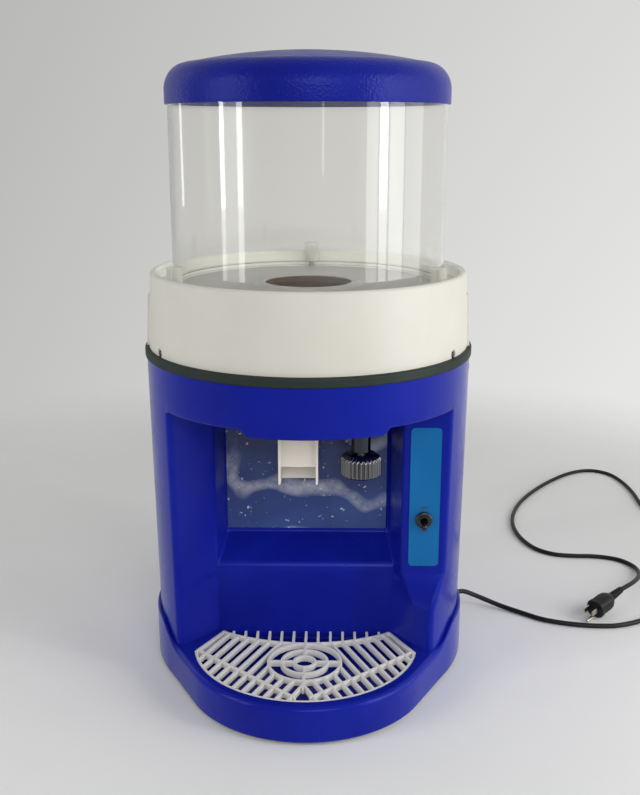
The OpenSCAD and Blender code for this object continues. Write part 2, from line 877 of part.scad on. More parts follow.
module top_frame() color("lightsteelblue") {
    skirt_r = body_r(frame_z) - shell_t - seat_gap;
    difference() {
        rotate_extrude($fn = 180)
            polygon([
                [0, frame_z],
                [skirt_r - frame_flange_t, frame_z],
                [skirt_r - frame_flange_t, frame_z - frame_skirt_h],
                [skirt_r - 0.3, frame_z - frame_skirt_h],
                [skirt_r, frame_z],
                [skirt_r, frame_top_z],
                [flange_r, frame_top_z],
                [flange_r, frame_top_z + frame_flange_h],
                [flange_r - frame_flange_t, frame_top_z + frame_flange_h],
                [flange_r - frame_flange_t, frame_top_z],
                [0, frame_top_z]
            ]);
        translate([0, 0, frame_z - 1]) cylinder(r = housing_r + run_gap, h = frame_t + 2);
        translate([slot_x, -chute_y, frame_z]) cube([slot_w, slot_d, cut_len], center = true);
        for (p = posts_xy)
            translate([p.x, p.y, frame_z - 1]) cylinder(r = m5_r + 0.3, h = frame_t + 2, $fn = 32);
        radial_holes(body_screw_deg, body_screw_z, m4_r, body_screw_r - 20);
        radial_holes(collar_screw_deg, collar_screw_z, m4_r, flange_r - 12);
    }
}

module post_screws() color("silver") {
    for (p = posts_xy) translate([p.x, p.y, frame_top_z]) screw_down(m5_r, m5_head_r, 4, post_screw_len);
}

// Band, collar and hopper

module rubber_band() color([0.13, 0.16, 0.15]) {
    edge = 1.2;
    inner = flange_r + pass_gap;
    rotate_extrude($fn = 180)
        polygon([
            [inner, body_top_z], [band_r - edge, body_top_z], [band_r, body_top_z + edge],
            [band_r, band_top_z - edge], [band_r - edge, band_top_z], [inner, band_top_z]
        ]);
}

collar_screw_deg = [-30, 90, 210];
collar_screw_z = band_top_z + 4;
collar_recess_r = 5.5;
collar_recess_floor = collar_foot_r - 2.2;

module collar_ring() color([0.91, 0.9, 0.86]) {
    edge = 2;
    ledge_r = collar_bore_r - 3;
    difference() {
        union() {
            rotate_extrude($fn = 180)
                polygon([
                    [collar_foot_r - collar_wall, band_top_z],
                    [collar_foot_r, band_top_z],
                    [collar_r(collar_top_z - edge), collar_top_z - edge],
                    [collar_top_r - 0.6 * edge, collar_top_z - 0.3 * edge],
                    [collar_top_r - edge, collar_top_z],
                    [collar_bore_r + edge, collar_top_z],
                    [collar_bore_r, collar_top_z - edge],
                    [collar_bore_r, hopper_under_z],
                    [ledge_r, hopper_under_z],
                    [ledge_r, hopper_under_z - 4],
                    [collar_r(hopper_z) - collar_wall, hopper_under_z - 16],
                    [collar_foot_r - collar_wall, frame_top_z + frame_flange_h + 4]
                ]);
            collar_pads();
        }
        radial_holes(collar_screw_deg, collar_screw_z, m4_r + 0.2, flange_r - 12);
        radial_holes(collar_screw_deg, collar_screw_z, collar_recess_r, collar_recess_floor);
    }
}

// Two raised pads at the sides of the collar, sloped at their tops
module collar_pads() {
    slope = 12;
    intersection() {
        rotate_extrude($fn = 180)
            polygon([
                [collar_foot_r - 2, band_top_z],
                [collar_foot_r + pad_proud, band_top_z],
                [collar_r(band_top_z + pad_h) + pad_proud, band_top_z + pad_h],
                [collar_r(band_top_z + pad_h) - 2, band_top_z + pad_h]
            ]);
        rotate([90, 0, 90])
            translate([0, 0, -band_r])
                linear_extrude(2 * band_r)
                    polygon([
                        [-pad_w / 2, band_top_z],
                        [pad_w / 2, band_top_z],
                        [pad_w / 2, band_top_z + pad_h - slope],
                        [pad_w / 2 - slope, band_top_z + pad_h],
                        [-pad_w / 2 + slope, band_top_z + pad_h],
                        [-pad_w / 2, band_top_z + pad_h - slope]
                    ]);
    }
}

module collar_screws() color("dimgray") {
    round_axis(collar_screw_deg)
        translate([collar_recess_floor, 0, collar_screw_z])
            rotate([0, 90, 0]) screw_down(m4_r, m4_head_r - 0.4, 1.8, 10);
}

module hopper_floor() color([0.85, 0.85, 0.83]) {
    lip_w = 12;
    under_cut = 5;
    difference() {
        rotate_extrude($fn = 180)
            polygon([
                [throat_r + under_cut, hopper_under_z],
                [collar_bore_r - pass_gap, hopper_under_z],
                [collar_bore_r - pass_gap, hopper_z],
                [throat_r + lip_w, hopper_z],
                [throat_r + lip_w * 0.6, hopper_z + throat_lip_h * 0.75],
                [throat_r + lip_w * 0.25, hopper_z + throat_lip_h],
                [throat_r, hopper_z + throat_lip_h * 0.9],
                [throat_r, hopper_under_z + under_cut]
            ]);
        round_axis(nut_deg)
            translate([trough_r, 0, hopper_under_z - 1]) cylinder(r = stud_r + run_gap, h = hopper_t + 2);
    }
}

module barrel_studs() color("silver") {
    head_h = 4;
    round_axis(nut_deg)
        translate([trough_r, 0, hopper_under_z]) {
            translate([0, 0, -head_h]) cylinder(r = stud_r + 2.2, h = head_h, $fn = 6);
            cylinder(r = stud_r, h = hopper_t + flange_t + nut_h - 4);
        }
}

module ice_barrel() color([0.9, 0.95, 0.97, 0.3]) {
    difference() {
        union() {
            translate([0, 0, hopper_z]) cylinder(r = barrel_r, h = barrel_h, $fn = 180);
            translate([0, 0, hopper_z]) cylinder(r = collar_bore_r - 1.5, h = flange_t, $fn = 180);
        }
        translate([0, 0, hopper_z - 1]) cylinder(r = barrel_r - barrel_t, h = barrel_h + 2, $fn = 180);
        round_axis(nut_deg)
            translate([trough_r, 0, hopper_z - 1]) cylinder(r = stud_r + 0.3, h = flange_t + 2);
    }
}

// A tall thumb nut with a blind hole for its stud
module thumb_nut(angle) color([0.92, 0.91, 0.87]) {
    rotate([0, 0, angle])
        translate([trough_r, 0, flange_top_z + run_gap])
            difference() {
                union() {
                    fluted(nut_r, nut_h - 2, 16, 1.2);
                    translate([0, 0, nut_h - 2]) cylinder(r1 = nut_r - 0.8, r2 = nut_r - 2.4, h = 2);
                }
                translate([0, 0, -1]) cylinder(r = stud_r + run_gap, h = nut_h - 2);
            }
}

module thumb_nut_back() thumb_nut(nut_deg[0]);
module thumb_nut_right() thumb_nut(nut_deg[1]);
module thumb_nut_left() thumb_nut(nut_deg[2]);

// Lid

lid_r = barrel_r + lid_gap + lid_t;
lid_foot_z = barrel_top_z - lid_skirt;
shoulder_z = barrel_top_z - 6;
shoulder_r = lid_r - shoulder_w;
function shoulder_line(in) = [
    for (a = [0 : 15 : 90])
        [shoulder_r + (shoulder_w - in) * cos(a), shoulder_z + (shoulder_h - in) * sin(a)]
];
function dome_line(in) = [
    for (k = [0.85 : -0.17 : 0])
        [shoulder_r * k, shoulder_z + shoulder_h - in + dome_h * (1 - k * k)]
];

module lid() color([0.12, 0.15, 0.6]) {
    rotate_extrude($fn = 180)
        polygon(concat(
            [[lid_r - lid_t, lid_foot_z], [lid_r, lid_foot_z]],
            shoulder_line(0),
            dome_line(0),
            [[0, shoulder_z + shoulder_h + dome_h], [0, shoulder_z + shoulder_h + dome_h - lid_t]],
            [for (i = [len(dome_line(lid_t)) - 2 : -1 : 0]) dome_line(lid_t)[i]],
            [for (i = [6 : -1 : 3]) shoulder_line(lid_t)[i]],
            [[barrel_r - barrel_t - 2, barrel_top_z], [lid_r - lid_t, barrel_top_z]]
        ));
}

// Ice shaving

module shaving_drum() color("lightgray") {
    difference() {
        translate([0, 0, frame_top_z]) cylinder(r = drum_r, h = hopper_under_z - frame_top_z);
        translate([0, 0, drum_floor_z]) cylinder(r = drum_r - drum_t, h = hopper_under_z);
        translate([0, 0, frame_top_z - 1]) cylinder(r = housing_r + run_gap, h = drum_floor_t + 2);
        translate([slot_x, -chute_y, frame_top_z]) cube([slot_w, slot_d, cut_len], center = true);
    }
}

module bearing_housing() color("slategray") {
    difference() {
        union() {
            translate([0, 0, housing_z]) cylinder(r = housing_r, h = drum_floor_z - housing_z);
            translate([0, 0, frame_z - 6]) cylinder(r = housing_r + 16, h = 6);
        }
        translate([0, 0, housing_z - 1]) cylinder(r = bearing_r - 3, h = drum_floor_z - housing_z + 2);
        translate([0, 0, housing_z - 1]) cylinder(r = bearing_r, h = bearing_h + 2);
        translate([0, 0, drum_floor_z - bearing_h - 3]) cylinder(r = bearing_r, h = bearing_h + 10);
    }
}

module ball_bearing(z) color("silver") {
    translate([0, 0, z]) tube(bearing_r, shaft_r + run_gap, bearing_h);
}
module upper_bearing() ball_bearing(drum_floor_z - bearing_h - 3);
module lower_bearing() ball_bearing(housing_z + 1);

module shaft_seal() color([0.1, 0.1, 0.1]) {
    translate([0, 0, drum_floor_z - 3]) tube(bearing_r, shaft_r + run_gap, 3);
}

module main_shaft() color("silver") {
    translate([0, 0, pulley_z]) cylinder(r = shaft_r, h = hub_top_z + 11 - pulley_z);
}

module impeller() color("gainsboro") {
    reach = drum_r - drum_t - paddle_gap;
    difference() {
        union() {
            translate([0, 0, paddle_z]) cylinder(r = hub_r, h = hub_top_z - paddle_z);
            for (i = [0 : paddle_count - 1])
                rotate([0, 0, 360 * i / paddle_count + 20])
                    translate([0, -paddle_t / 2, paddle_z]) cube([reach, paddle_t, paddle_h - 10]);
        }
        translate([0, 0, paddle_z - 1]) cylinder(r = shaft_r, h = paddle_h + 2);
    }
}

module impeller_nut() color("silver") {
    difference() {
        union() {
            translate([0, 0, hub_top_z]) cylinder(r = 14, h = 9, $fn = 6);
            translate([0, 0, hub_top_z + 9]) cylinder(r1 = 11.8, r2 = 7, h = 9);
        }
        translate([0, 0, hub_top_z - 1]) cylinder(r = shaft_r, h = 13);
    }
}

// A pulley with a groove for the belt
module pulley(r, groove_r, bore_r) {
    difference() {
        cylinder(r = r, h = pulley_h);
        translate([0, 0, (pulley_h - groove_h) / 2]) tube(r + 1, groove_r, groove_h);
        translate([0, 0, -1]) cylinder(r = bore_r, h = pulley_h + 2);
    }
}

module main_pulley() color("dimgray") {
    translate([0, 0, pulley_z]) pulley(main_pulley_r, main_groove_r, shaft_r);
}

module drive_belt() color([0.08, 0.08, 0.08]) {
    r1 = main_groove_r + belt_gap;
    r2 = motor_groove_r + belt_gap;
    translate([0, 0, pulley_z + (pulley_h - belt_h) / 2])
        linear_extrude(belt_h)
            mirror([0, 1])
                difference() {
                    two_lobes(r1 + belt_t, r2 + belt_t, drive_span, 1);
                    two_lobes(r1, r2, drive_span, 1);
                }
}

// Motor and its mountings

module motor() color([0.35, 0.37, 0.4]) {
    cap_h = 22;
    translate([0, drive_span, motor_top_z - motor_h])
        difference() {
            union() {
                cylinder(r = motor_r - 4, h = motor_h);
                cylinder(r = motor_r, h = cap_h);
                translate([0, 0, motor_h - cap_h]) cylinder(r = motor_r, h = cap_h);
                for (z = [cap_h + 6 : 10 : motor_h - cap_h - 6])
                    translate([0, 0, z]) cylinder(r = motor_r - 1, h = 4);
            }
            translate([0, 0, 8]) cylinder(r = motor_shaft_r + run_gap, h = motor_h);
            for (a = [45 : 90 : 315])
                rotate([0, 0, a])
                    translate([motor_r - 14, 0, motor_h - 12]) cylinder(r = m5_r, h = 20, $fn = 32);
        }
}

module motor_bracket() color("lightsteelblue") {
    leg_h = frame_z - web_z;
    translate([0, drive_span, 0])
        difference() {
            union() {
                translate([-bracket_half_w, -bracket_d / 2, web_z - bracket_t])
                    cube([2 * bracket_half_w, bracket_d, bracket_t]);
                for (side = [-1, 1]) {
                    translate([side * (bracket_half_w - bracket_t / 2), 0, web_z + leg_h / 2 - bracket_t / 2])
                        cube([bracket_t, bracket_d - 30, leg_h + bracket_t], center = true);
                    translate([side * (bracket_half_w + (bracket_lug - bracket_t) / 2), 0, frame_z])
                        translate([0, 0, -bracket_t / 2])
                            cube([bracket_lug + bracket_t, bracket_d - 30, bracket_t], center = true);
                }
            }
            translate([0, 0, web_z - bracket_t - 1]) cylinder(r = motor_shaft_r + 6, h = bracket_t + 2);
            for (a = [45 : 90 : 315])
                rotate([0, 0, a])
                    translate([motor_r - 14, 0, web_z - bracket_t - 1])
                        cylinder(r = m5_r + 0.3, h = 20, $fn = 32);
        }
}

module motor_screws() color("silver") {
    for (a = [45 : 90 : 315])
        translate([0, drive_span, web_z])
            rotate([0, 0, a]) translate([motor_r - 14, 0, 0]) screw_down(m5_r, m5_head_r, 2.6, 14);
}

module motor_shaft() color("silver") {
    foot_z = motor_top_z - motor_h + 9;
    translate([0, drive_span, foot_z]) cylinder(r = motor_shaft_r, h = pulley_top_z + 4 - foot_z);
}

module motor_pulley() color("dimgray") {
    translate([0, drive_span, pulley_z]) pulley(motor_pulley_r, motor_groove_r, motor_shaft_r);
}

module capacitor() color([0.75, 0.76, 0.78]) {
    translate([capacitor_xy.x, capacitor_xy.y, floor_top_z]) {
        cylinder(r = capacitor_r, h = capacitor_h);
        for (x = [-6, 6]) translate([x - 2.5, -0.5, capacitor_h]) cube([5, 1, 9]);
    }
}

module capacitor_clip() color("silver") {
    band = 1.5;
    translate([capacitor_xy.x, capacitor_xy.y, floor_top_z])
        difference() {
            union() {
                translate([0, 0, 25]) cylinder(r = capacitor_r + band, h = 16);
                translate([capacitor_r - 1, -8, 0]) cube([3, 16, 41]);
                translate([capacitor_r - 1, -8, 0]) cube([18, 16, 2]);
            }
            translate([0, 0, -1]) cylinder(r = capacitor_r, h = capacitor_h);
        }
}

module terminal_block() color([0.9, 0.88, 0.8]) {
    translate([terminal_xy.x, terminal_xy.y, floor_top_z])
        difference() {
            translate([-9, -24, 0]) cube([18, 48, 15]);
            for (y = [-15, 0, 15]) {
                translate([0, y, 8]) cylinder(r = 3.2, h = 20, $fn = 32);
                translate([-20, y, 5]) rotate([0, 90, 0]) cylinder(r = 2.2, h = 40, $fn = 32);
            }
        }
}

// Blade, chute and adjusting knob

blade_w = slot_d - 6;
blade_len = 30;

module blade_carrier() color("gray") {
    top_z = drum_floor_z - 12;
    lug = 11;
    difference() {
        union() {
            translate([carrier_x - carrier_w / 2, -chute_y - slot_d / 2 + pass_gap, arm_z])
                cube([carrier_w, slot_d - 2 * pass_gap, top_z - arm_z]);
            translate([carrier_x, -knob_y - arm_w / 2, arm_z]) cube([knob_x - carrier_x, arm_w, arm_h]);
            translate([knob_x, -knob_y, arm_z]) cylinder(r = lug, h = arm_h);
        }
        translate([knob_x, -knob_y, arm_z - 1]) cylinder(r = screw_r + run_gap, h = arm_h + 2);
        // seat that the blade lies on
        translate([blade_edge.x, -chute_y, blade_edge.z])
            rotate([0, blade_deg, 0])
                translate([0, -slot_d, -blade_t]) cube([blade_len + 6, 2 * slot_d, blade_len]);
        for (y = blade_screw_y)
            translate([blade_edge.x, -chute_y + y, blade_edge.z])
                rotate([0, blade_deg, 0])
                    translate([blade_len - 7, 0, -14]) cylinder(r = m4_r, h = 20, $fn = 32);
    }
}

blade_edge = [carrier_x - carrier_w / 2 - 3, 0, drum_floor_z + blade_rise];
blade_screw_y = [-12, 12];

module shaving_blade() color("whitesmoke") {
    translate([blade_edge.x, -chute_y, blade_edge.z])
        rotate([0, blade_deg, 0])
            difference() {
                rotate([90, 0, 0])
                    translate([0, 0, -blade_w / 2])
                        linear_extrude(blade_w)
                            polygon([[0, 0], [blade_len, 0], [blade_len, -blade_t], [5, -blade_t]]);
                for (y = blade_screw_y)
                    translate([blade_len - 7, y, -blade_t - 1])
                        cylinder(r = m4_r + 0.2, h = blade_t + 2, $fn = 32);
            }
}

module blade_screws() color("dimgray") {
    for (y = blade_screw_y)
        translate([blade_edge.x, -chute_y + y, blade_edge.z])
            rotate([0, blade_deg, 0]) translate([blade_len - 7, 0, 0]) screw_down(m4_r, m4_head_r, 1.6, 10);
}

module ice_chute() color([0.93, 0.91, 0.85]) {
    throat_w = slot_w + 8;
    throat_d = slot_d + 2 * chute_t;
    throat_z = frame_z - chute_throat_h;
    front = -chute_y - chute_d / 2;
    back = -chute_y + chute_d / 2;
    difference() {
        union() {
            translate([chute_x - chute_w / 2, front, mouth_z])
                cube([chute_w, chute_d, throat_z - mouth_z + chute_t]);
            translate([slot_x - throat_w / 2, -chute_y - throat_d / 2, throat_z])
                cube([throat_w, throat_d, chute_throat_h]);
        }
        translate([chute_x - chute_w / 2 + chute_t, front + chute_recess + chute_t, mouth_z - 1])
            cube([chute_w - 2 * chute_t, chute_d - chute_recess - 2 * chute_t, frame_z - mouth_z + 2]);
        translate([slot_x - slot_w / 2, -chute_y - slot_d / 2, throat_z + chute_t])
            cube([slot_w, slot_d, chute_throat_h]);
        // set-back front panel, its lower edge and the slanted mouth
        translate([chute_x - chute_w / 2 + chute_t, front - 1, mouth_z - 1])
            cube([chute_w - 2 * chute_t, chute_recess + 1, chute_drop]);
        translate([chute_x - chute_w / 2 + chute_t, front - 1, mouth_z - 1])
            cube([chute_w - 2 * chute_t, chute_d / 2, chute_cut + 1]);
        rotate([90, 0, 90])
            translate([0, 0, chute_x - chute_w])
                linear_extrude(2 * chute_w)
                    polygon([
                        [front, mouth_z - 1], [back, mouth_z - 1], [back, mouth_z], [front, mouth_z + chute_slant]
                    ]);
        // window that the carrier's arm passes through
        translate([slot_x, -knob_y - arm_w / 2 - 1, arm_z - 3]) cube([throat_w, arm_w + 2, cut_len]);
    }
}

module knob_bush() color("silver") {
    difference() {
        union() {
            translate([knob_x, -knob_y, bush_z]) cylinder(r = bush_r, h = bay_top_z - bush_z);
            translate([knob_x, -knob_y, bay_top_z - 1]) cylinder(r = bush_r - 2 - run_gap, h = bay_t + 6);
        }
        translate([knob_x, -knob_y, bush_z - 1]) cylinder(r = screw_r + run_gap, h = bush_drop + 40);
    }
}

module adjusting_screw() color("silver") {
    foot_z = knob_top_z - knob_h + 8;
    translate([knob_x, -knob_y, foot_z]) cylinder(r = screw_r, h = frame_z - 1.5 - foot_z);
}

module adjusting_knob() color([0.4, 0.4, 0.42]) {
    translate([knob_x, -knob_y, knob_top_z - knob_h])
        difference() {
            union() {
                translate([0, 0, 2.5]) fluted(knob_r, knob_h - 5, knob_flutes, 1.9);
                cylinder(r1 = knob_r - 4.5, r2 = knob_r - 1.6, h = 2.6);
                translate([0, 0, knob_h - 2.6]) cylinder(r1 = knob_r - 1.6, r2 = knob_r - 4.5, h = 2.6);
            }
            translate([0, 0, 8]) cylinder(r = screw_r, h = knob_h);
        }
}

// Control plate and toggle switch

module control_plate() color([0.08, 0.42, 0.64]) {
    translate([plate_x, -control_y, plate_z + plate_h / 2])
        rotate([90, 0, 0])
            difference() {
                linear_extrude(plate_t) round_rect(plate_w, plate_h, plate_corner_r);
                translate([switch_x - plate_x, switch_up - plate_h / 2, -1])
                    cylinder(r = bushing_r + run_gap, h = plate_t + 2);
            }
}

lever_pivot = [switch_x, -control_y, switch_z];
lever_bore_r = 4.6;
nut_t = 4;

module switch_housing() color([0.12, 0.12, 0.13]) {
    translate([switch_x, -control_y, switch_z])
        difference() {
            union() {
                translate([-8, bay_t, -15]) cube([16, 30, 30]);
                rotate([90, 0, 0])
                    translate([0, 0, -bay_t - 1]) cylinder(r = bushing_r, h = bay_t + plate_t + nut_t + 3);
                for (z = [-9, 0, 9]) translate([-3, bay_t + 29, z - 0.5]) cube([6, 9, 1]);
            }
            // slot that the lever swings in
            rotate([90, 0, 0]) translate([0, 0, -bay_t - 12]) cylinder(r = lever_bore_r, h = 60);
        }
}

module switch_nut() color([0.06, 0.06, 0.06]) {
    translate([switch_x, -control_y - plate_t, switch_z])
        rotate([90, 0, 0])
            difference() {
                union() {
                    cylinder(r = switch_nut_r, h = nut_t - 1);
                    translate([0, 0, nut_t - 1]) cylinder(r1 = switch_nut_r, r2 = switch_nut_r - 1.5, h = 1);
                }
                translate([0, 0, -1]) cylinder(r = bushing_r, h = nut_t + 2);
            }
}

// Lever drawn in its lower position, on a round pin that turns in the switch's neck
module toggle_lever() color([0.08, 0.08, 0.08]) {
    tip_r = 3.2;
    pin_r = lever_bore_r / sqrt(2) - run_gap;
    reach = plate_t + nut_t + lever_len - tip_r;
    translate(lever_pivot)
        rotate([90 + lever_deg, 0, 0]) {
            rotate([0, 90, 0]) cylinder(r = pin_r, h = 2 * pin_r, center = true, $fn = 48);
            cylinder(r1 = 1.8, r2 = tip_r, h = reach);
            translate([0, 0, reach]) sphere(r = tip_r + 0.02);
        }
}

// Mains lead

gland_neck_r = 7;

module cord_gland() color([0.06, 0.06, 0.06]) {
    washer_t = 2.5;
    washer_gap = 0.4;
    inner_z = base_r - base_wall - 8;
    outer_z = base_r + washer_gap + washer_t;
    translate([0, axis_y, gland_z])
        rotate([0, 0, gland_deg])
            rotate([0, 90, 0])
                difference() {
                    union() {
                        translate([0, 0, inner_z]) cylinder(r = gland_neck_r, h = outer_z - inner_z);
                        translate([0, 0, outer_z - washer_t]) cylinder(r = gland_neck_r + 3, h = washer_t);
                        translate([0, 0, outer_z])
                            cylinder(
                                r1 = gland_neck_r - 0.5,
                                r2 = cord_d / 2 + 1.4,
                                h = gland_tip_r - outer_z
                            );
                    }
                    translate([0, 0, inner_z - 1]) cylinder(r = cord_d / 2 - 0.8, h = base_wall + 9);
                }
}

// Smooth curve through the route's points, two steps to each stretch
function spline(p, i, t) =
    let (
        a = p[max(i - 1, 0)],
        b = p[i],
        c = p[i + 1],
        d = p[min(i + 2, len(p) - 1)]
    )
    0.5 * (2 * b + (c - a) * t + (2 * a - 5 * b + 4 * c - d) * t * t + (3 * b - a - 3 * c + d) * t * t * t);

cord_line = concat(
    [for (i = [0 : len(cord_route) - 2], k = [0 : cord_steps - 1]) spline(cord_route, i, k / cord_steps)],
    [plug_tail]
);

function run_at(p, i) = unit(p[min(i + 1, len(p) - 1)] - p[max(i - 1, 0)]);

// One closed tube swept along a line of points
module swept_tube(line, r, sides) {
    n = len(line);
    rings = [
        for (i = [0 : n - 1])
            let (
                run = i == 0 ? [cos(gland_deg), sin(gland_deg), 0]
                    : i == n - 1 ? plug_dir
                    : run_at(line, i),
                side = unit(cross(run, [0, 0, 1])),
                top = cross(side, run)
            )
            for (k = [0 : sides - 1])
                line[i] + r * (cos(360 * k / sides) * side + sin(360 * k / sides) * top)
    ];
    walls = [
        for (i = [0 : n - 2], k = [0 : sides - 1])
            let (a = i * sides + k, b = i * sides + (k + 1) % sides)
            each [[a, a + sides, b], [b, a + sides, b + sides]]
    ];
    caps = [
        for (k = [1 : sides - 2])
            each [[0, k, k + 1], [(n - 1) * sides, (n - 1) * sides + k + 1, (n - 1) * sides + k]]
    ];
    polyhedron(points = rings, faces = concat(walls, caps));
}

module power_cord() color([0.07, 0.07, 0.07]) {
    swept_tube(cord_line, cord_d / 2, cord_sides);
}

// Places a piece on the plug's axis, which runs along +Z before it is laid down
module on_plug() {
    translate(plug_tail) rotate([0, 0, plug_deg]) rotate([0, 90 + plug_tilt, 0]) children();
}

module plug_body() color([0.07, 0.07, 0.07]) {
    on_plug() {
        cylinder(r1 = cord_d / 2 + 1.2, r2 = cord_d / 2 + 2.6, h = boot_len);
        translate([0, 0, boot_len - 2]) cylinder(r1 = cord_d / 2 + 2.4, r2 = plug_r, h = 14);
        translate([0, 0, boot_len + 12]) cylinder(r = plug_r, h = plug_len - 12);
    }
}

module plug_pins() color("gold") {
    face = boot_len + plug_len;
    on_plug() {
        for (side = [-1, 1])
            translate([-pin_rise - 3.2, side * pin_spacing / 2 - 0.75, face]) cube([6.4, 1.5, pin_len]);
        translate([earth_drop - pin_rise, 0, face]) cylinder(r = 2.4, h = pin_len + 2);
    }
}

at_axis() base_tray();
at_axis() floor_plate();
at_axis() rubber_feet();
at_axis() foot_screws();
at_axis() drip_pan();
at_axis() drip_grate();
at_axis() body_shell();
at_axis() serving_bay();
at_axis() picture_panel();
at_axis() body_screws();
at_axis() frame_posts();
at_axis() top_frame();
at_axis() post_screws();
at_axis() rubber_band();
at_axis() collar_ring();
at_axis() collar_screws();
at_axis() hopper_floor();
at_axis() barrel_studs();
at_axis() ice_barrel();
at_axis() thumb_nut_back();
at_axis() thumb_nut_right();
at_axis() thumb_nut_left();
at_axis() lid();
at_axis() shaving_drum();
at_axis() bearing_housing();
at_axis() upper_bearing();
at_axis() lower_bearing();
at_axis() shaft_seal();
at_axis() main_shaft();
at_axis() impeller();
at_axis() impeller_nut();
at_axis() main_pulley();
at_axis() drive_belt();
at_axis() motor();
at_axis() motor_bracket();
at_axis() motor_screws();
at_axis() motor_shaft();
at_axis() motor_pulley();
at_axis() capacitor();
at_axis() capacitor_clip();
at_axis() terminal_block();
at_axis() blade_carrier();
at_axis() shaving_blade();
at_axis() blade_screws();
at_axis() ice_chute();
at_axis() knob_bush();
at_axis() adjusting_screw();
at_axis() adjusting_knob();
at_axis() control_plate();
at_axis() switch_housing();
at_axis() switch_nut();
at_axis() toggle_lever();
cord_gland();
power_cord();
plug_body();
plug_pins();
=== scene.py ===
import json
import math

import bmesh
import bpy
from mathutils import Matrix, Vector


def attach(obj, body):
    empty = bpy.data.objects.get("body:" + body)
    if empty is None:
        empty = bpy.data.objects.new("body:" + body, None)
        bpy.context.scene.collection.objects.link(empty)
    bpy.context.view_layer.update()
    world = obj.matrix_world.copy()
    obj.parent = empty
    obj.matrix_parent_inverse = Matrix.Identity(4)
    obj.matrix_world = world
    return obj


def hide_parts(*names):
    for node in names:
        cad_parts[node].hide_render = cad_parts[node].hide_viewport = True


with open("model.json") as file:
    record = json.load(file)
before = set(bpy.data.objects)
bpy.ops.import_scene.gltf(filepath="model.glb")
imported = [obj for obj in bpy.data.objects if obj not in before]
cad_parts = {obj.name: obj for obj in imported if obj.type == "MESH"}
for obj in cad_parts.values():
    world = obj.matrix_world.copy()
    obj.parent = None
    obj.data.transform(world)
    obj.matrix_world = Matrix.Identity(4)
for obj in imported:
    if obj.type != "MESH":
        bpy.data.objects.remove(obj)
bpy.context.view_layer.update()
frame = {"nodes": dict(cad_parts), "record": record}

# Lengths are in millimetres about the body's axis, which stands AXIS_Y behind the origin. Materials, camera,
# floor and lights are in metres.
MM = 0.001
AXIS_Y = 24.0
TAU = 2 * math.pi

# Levels and radii of the solids that the pieces stand for
DECK_Z = 46.0
RIM_Z = 66.0
BODY_TOP_Z = 384.0
BODY_FOOT_R, BODY_TOP_R = 188.0, 192.0
BAND_TOP_Z, BAND_R = 395.0, 194.0
HOPPER_Z = 464.0
BARREL_TOP_Z, BARREL_R, BARREL_T = 688.0, 158.5, 4.0
BAY_TOP_Z = 335.0

# Steps round a large turned piece
ROUND_STEPS = 224


# Plain geometry helpers


def metres(v):
    return (v[0] * MM, (v[1] + AXIS_Y) * MM, v[2] * MM)


def body_r(z):
    return BODY_FOOT_R + (BODY_TOP_R - BODY_FOOT_R) * (z - DECK_Z) / (BODY_TOP_Z - DECK_Z)


def lerp(a, b, f):
    return tuple(x + (y - x) * f for x, y in zip(a, b))


def clamp01(x):
    return min(1.0, max(0.0, x))


def smooth01(x):
    x = clamp01(x)
    return x * x * (3 - 2 * x)


def spread(first, last, steps):
    """Even steps from first to last, with both ends."""
    return [first + (last - first) * i / steps for i in range(steps + 1)]


def polar(radius, angle):
    return (radius * math.cos(angle), radius * math.sin(angle))


def angle_of(point):
    return math.atan2(point[1], point[0])


def rounded(points, radii, steps=5, closed=True):
    """A line of points with each corner turned into an arc of the given radius."""
    out = []
    last = len(points) - 1
    for i, point in enumerate(points):
        radius = radii[i] if isinstance(radii, (list, tuple)) else radii
        p = Vector(point)
        if radius <= 0 or (not closed and i in (0, last)):
            out.append(tuple(p))
            continue
        a = Vector(points[i - 1]) - p
        b = Vector(points[(i + 1) % len(points)]) - p
        if a.length < 1e-6 or b.length < 1e-6 or abs(a.normalized().dot(b.normalized())) > 0.99999:
            out.extend([tuple(p)] * (steps + 1))
            continue
        half = a.angle(b) / 2
        reach = min(radius / math.tan(half), 0.49 * a.length, 0.49 * b.length)
        start, end = p + a.normalized() * reach, p + b.normalized() * reach
        centre = p + (a.normalized() + b.normalized()).normalized() * (reach / math.cos(half))
        u, v = start - centre, end - centre
        turn = math.atan2(u.x * v.y - u.y * v.x, u.dot(v))
        for k in range(steps + 1):
            t = turn * k / steps
            c, s = math.cos(t), math.sin(t)
            out.append((centre.x + u.x * c - u.y * s, centre.y + u.x * s + u.y * c))
    return out


def lathe(profile, segments=192, centre=(0.0, 0.0), closed=False, radius_at=None):
    """Turns (radius, height) points about an upright axis. radius_at(angle, r, z) may reshape the round."""
    verts, faces = [], []
    n = len(profile)
    for i in range(segments):
        a = TAU * i / segments
        for r, z in profile:
            x, y = polar(radius_at(a, r, z) if radius_at else r, a)
            verts.append((centre[0] + x, centre[1] + y, z))
    for i in range(segments):
        j = (i + 1) % segments
        for k in range(n if closed else n - 1):
            m = (k + 1) % n
            faces.append((i * n + k, j * n + k, j * n + m, i * n + m))
    return verts, faces


def loft(rows, closed=True, cap_first=False, cap_last=False):
    """Joins rows of points, all of one length, into a skin."""
    n = len(rows[0])
    verts = [p for row in rows for p in row]
    faces = []
    for i in range(len(rows) - 1):
        for k in range(n if closed else n - 1):
            m = (k + 1) % n
            faces.append((i * n + k, i * n + m, (i + 1) * n + m, (i + 1) * n + k))
    if cap_first:
        faces.append(tuple(range(n)))
    if cap_last:
        faces.append(tuple(range((len(rows) - 1) * n, len(rows) * n)))
    return verts, faces


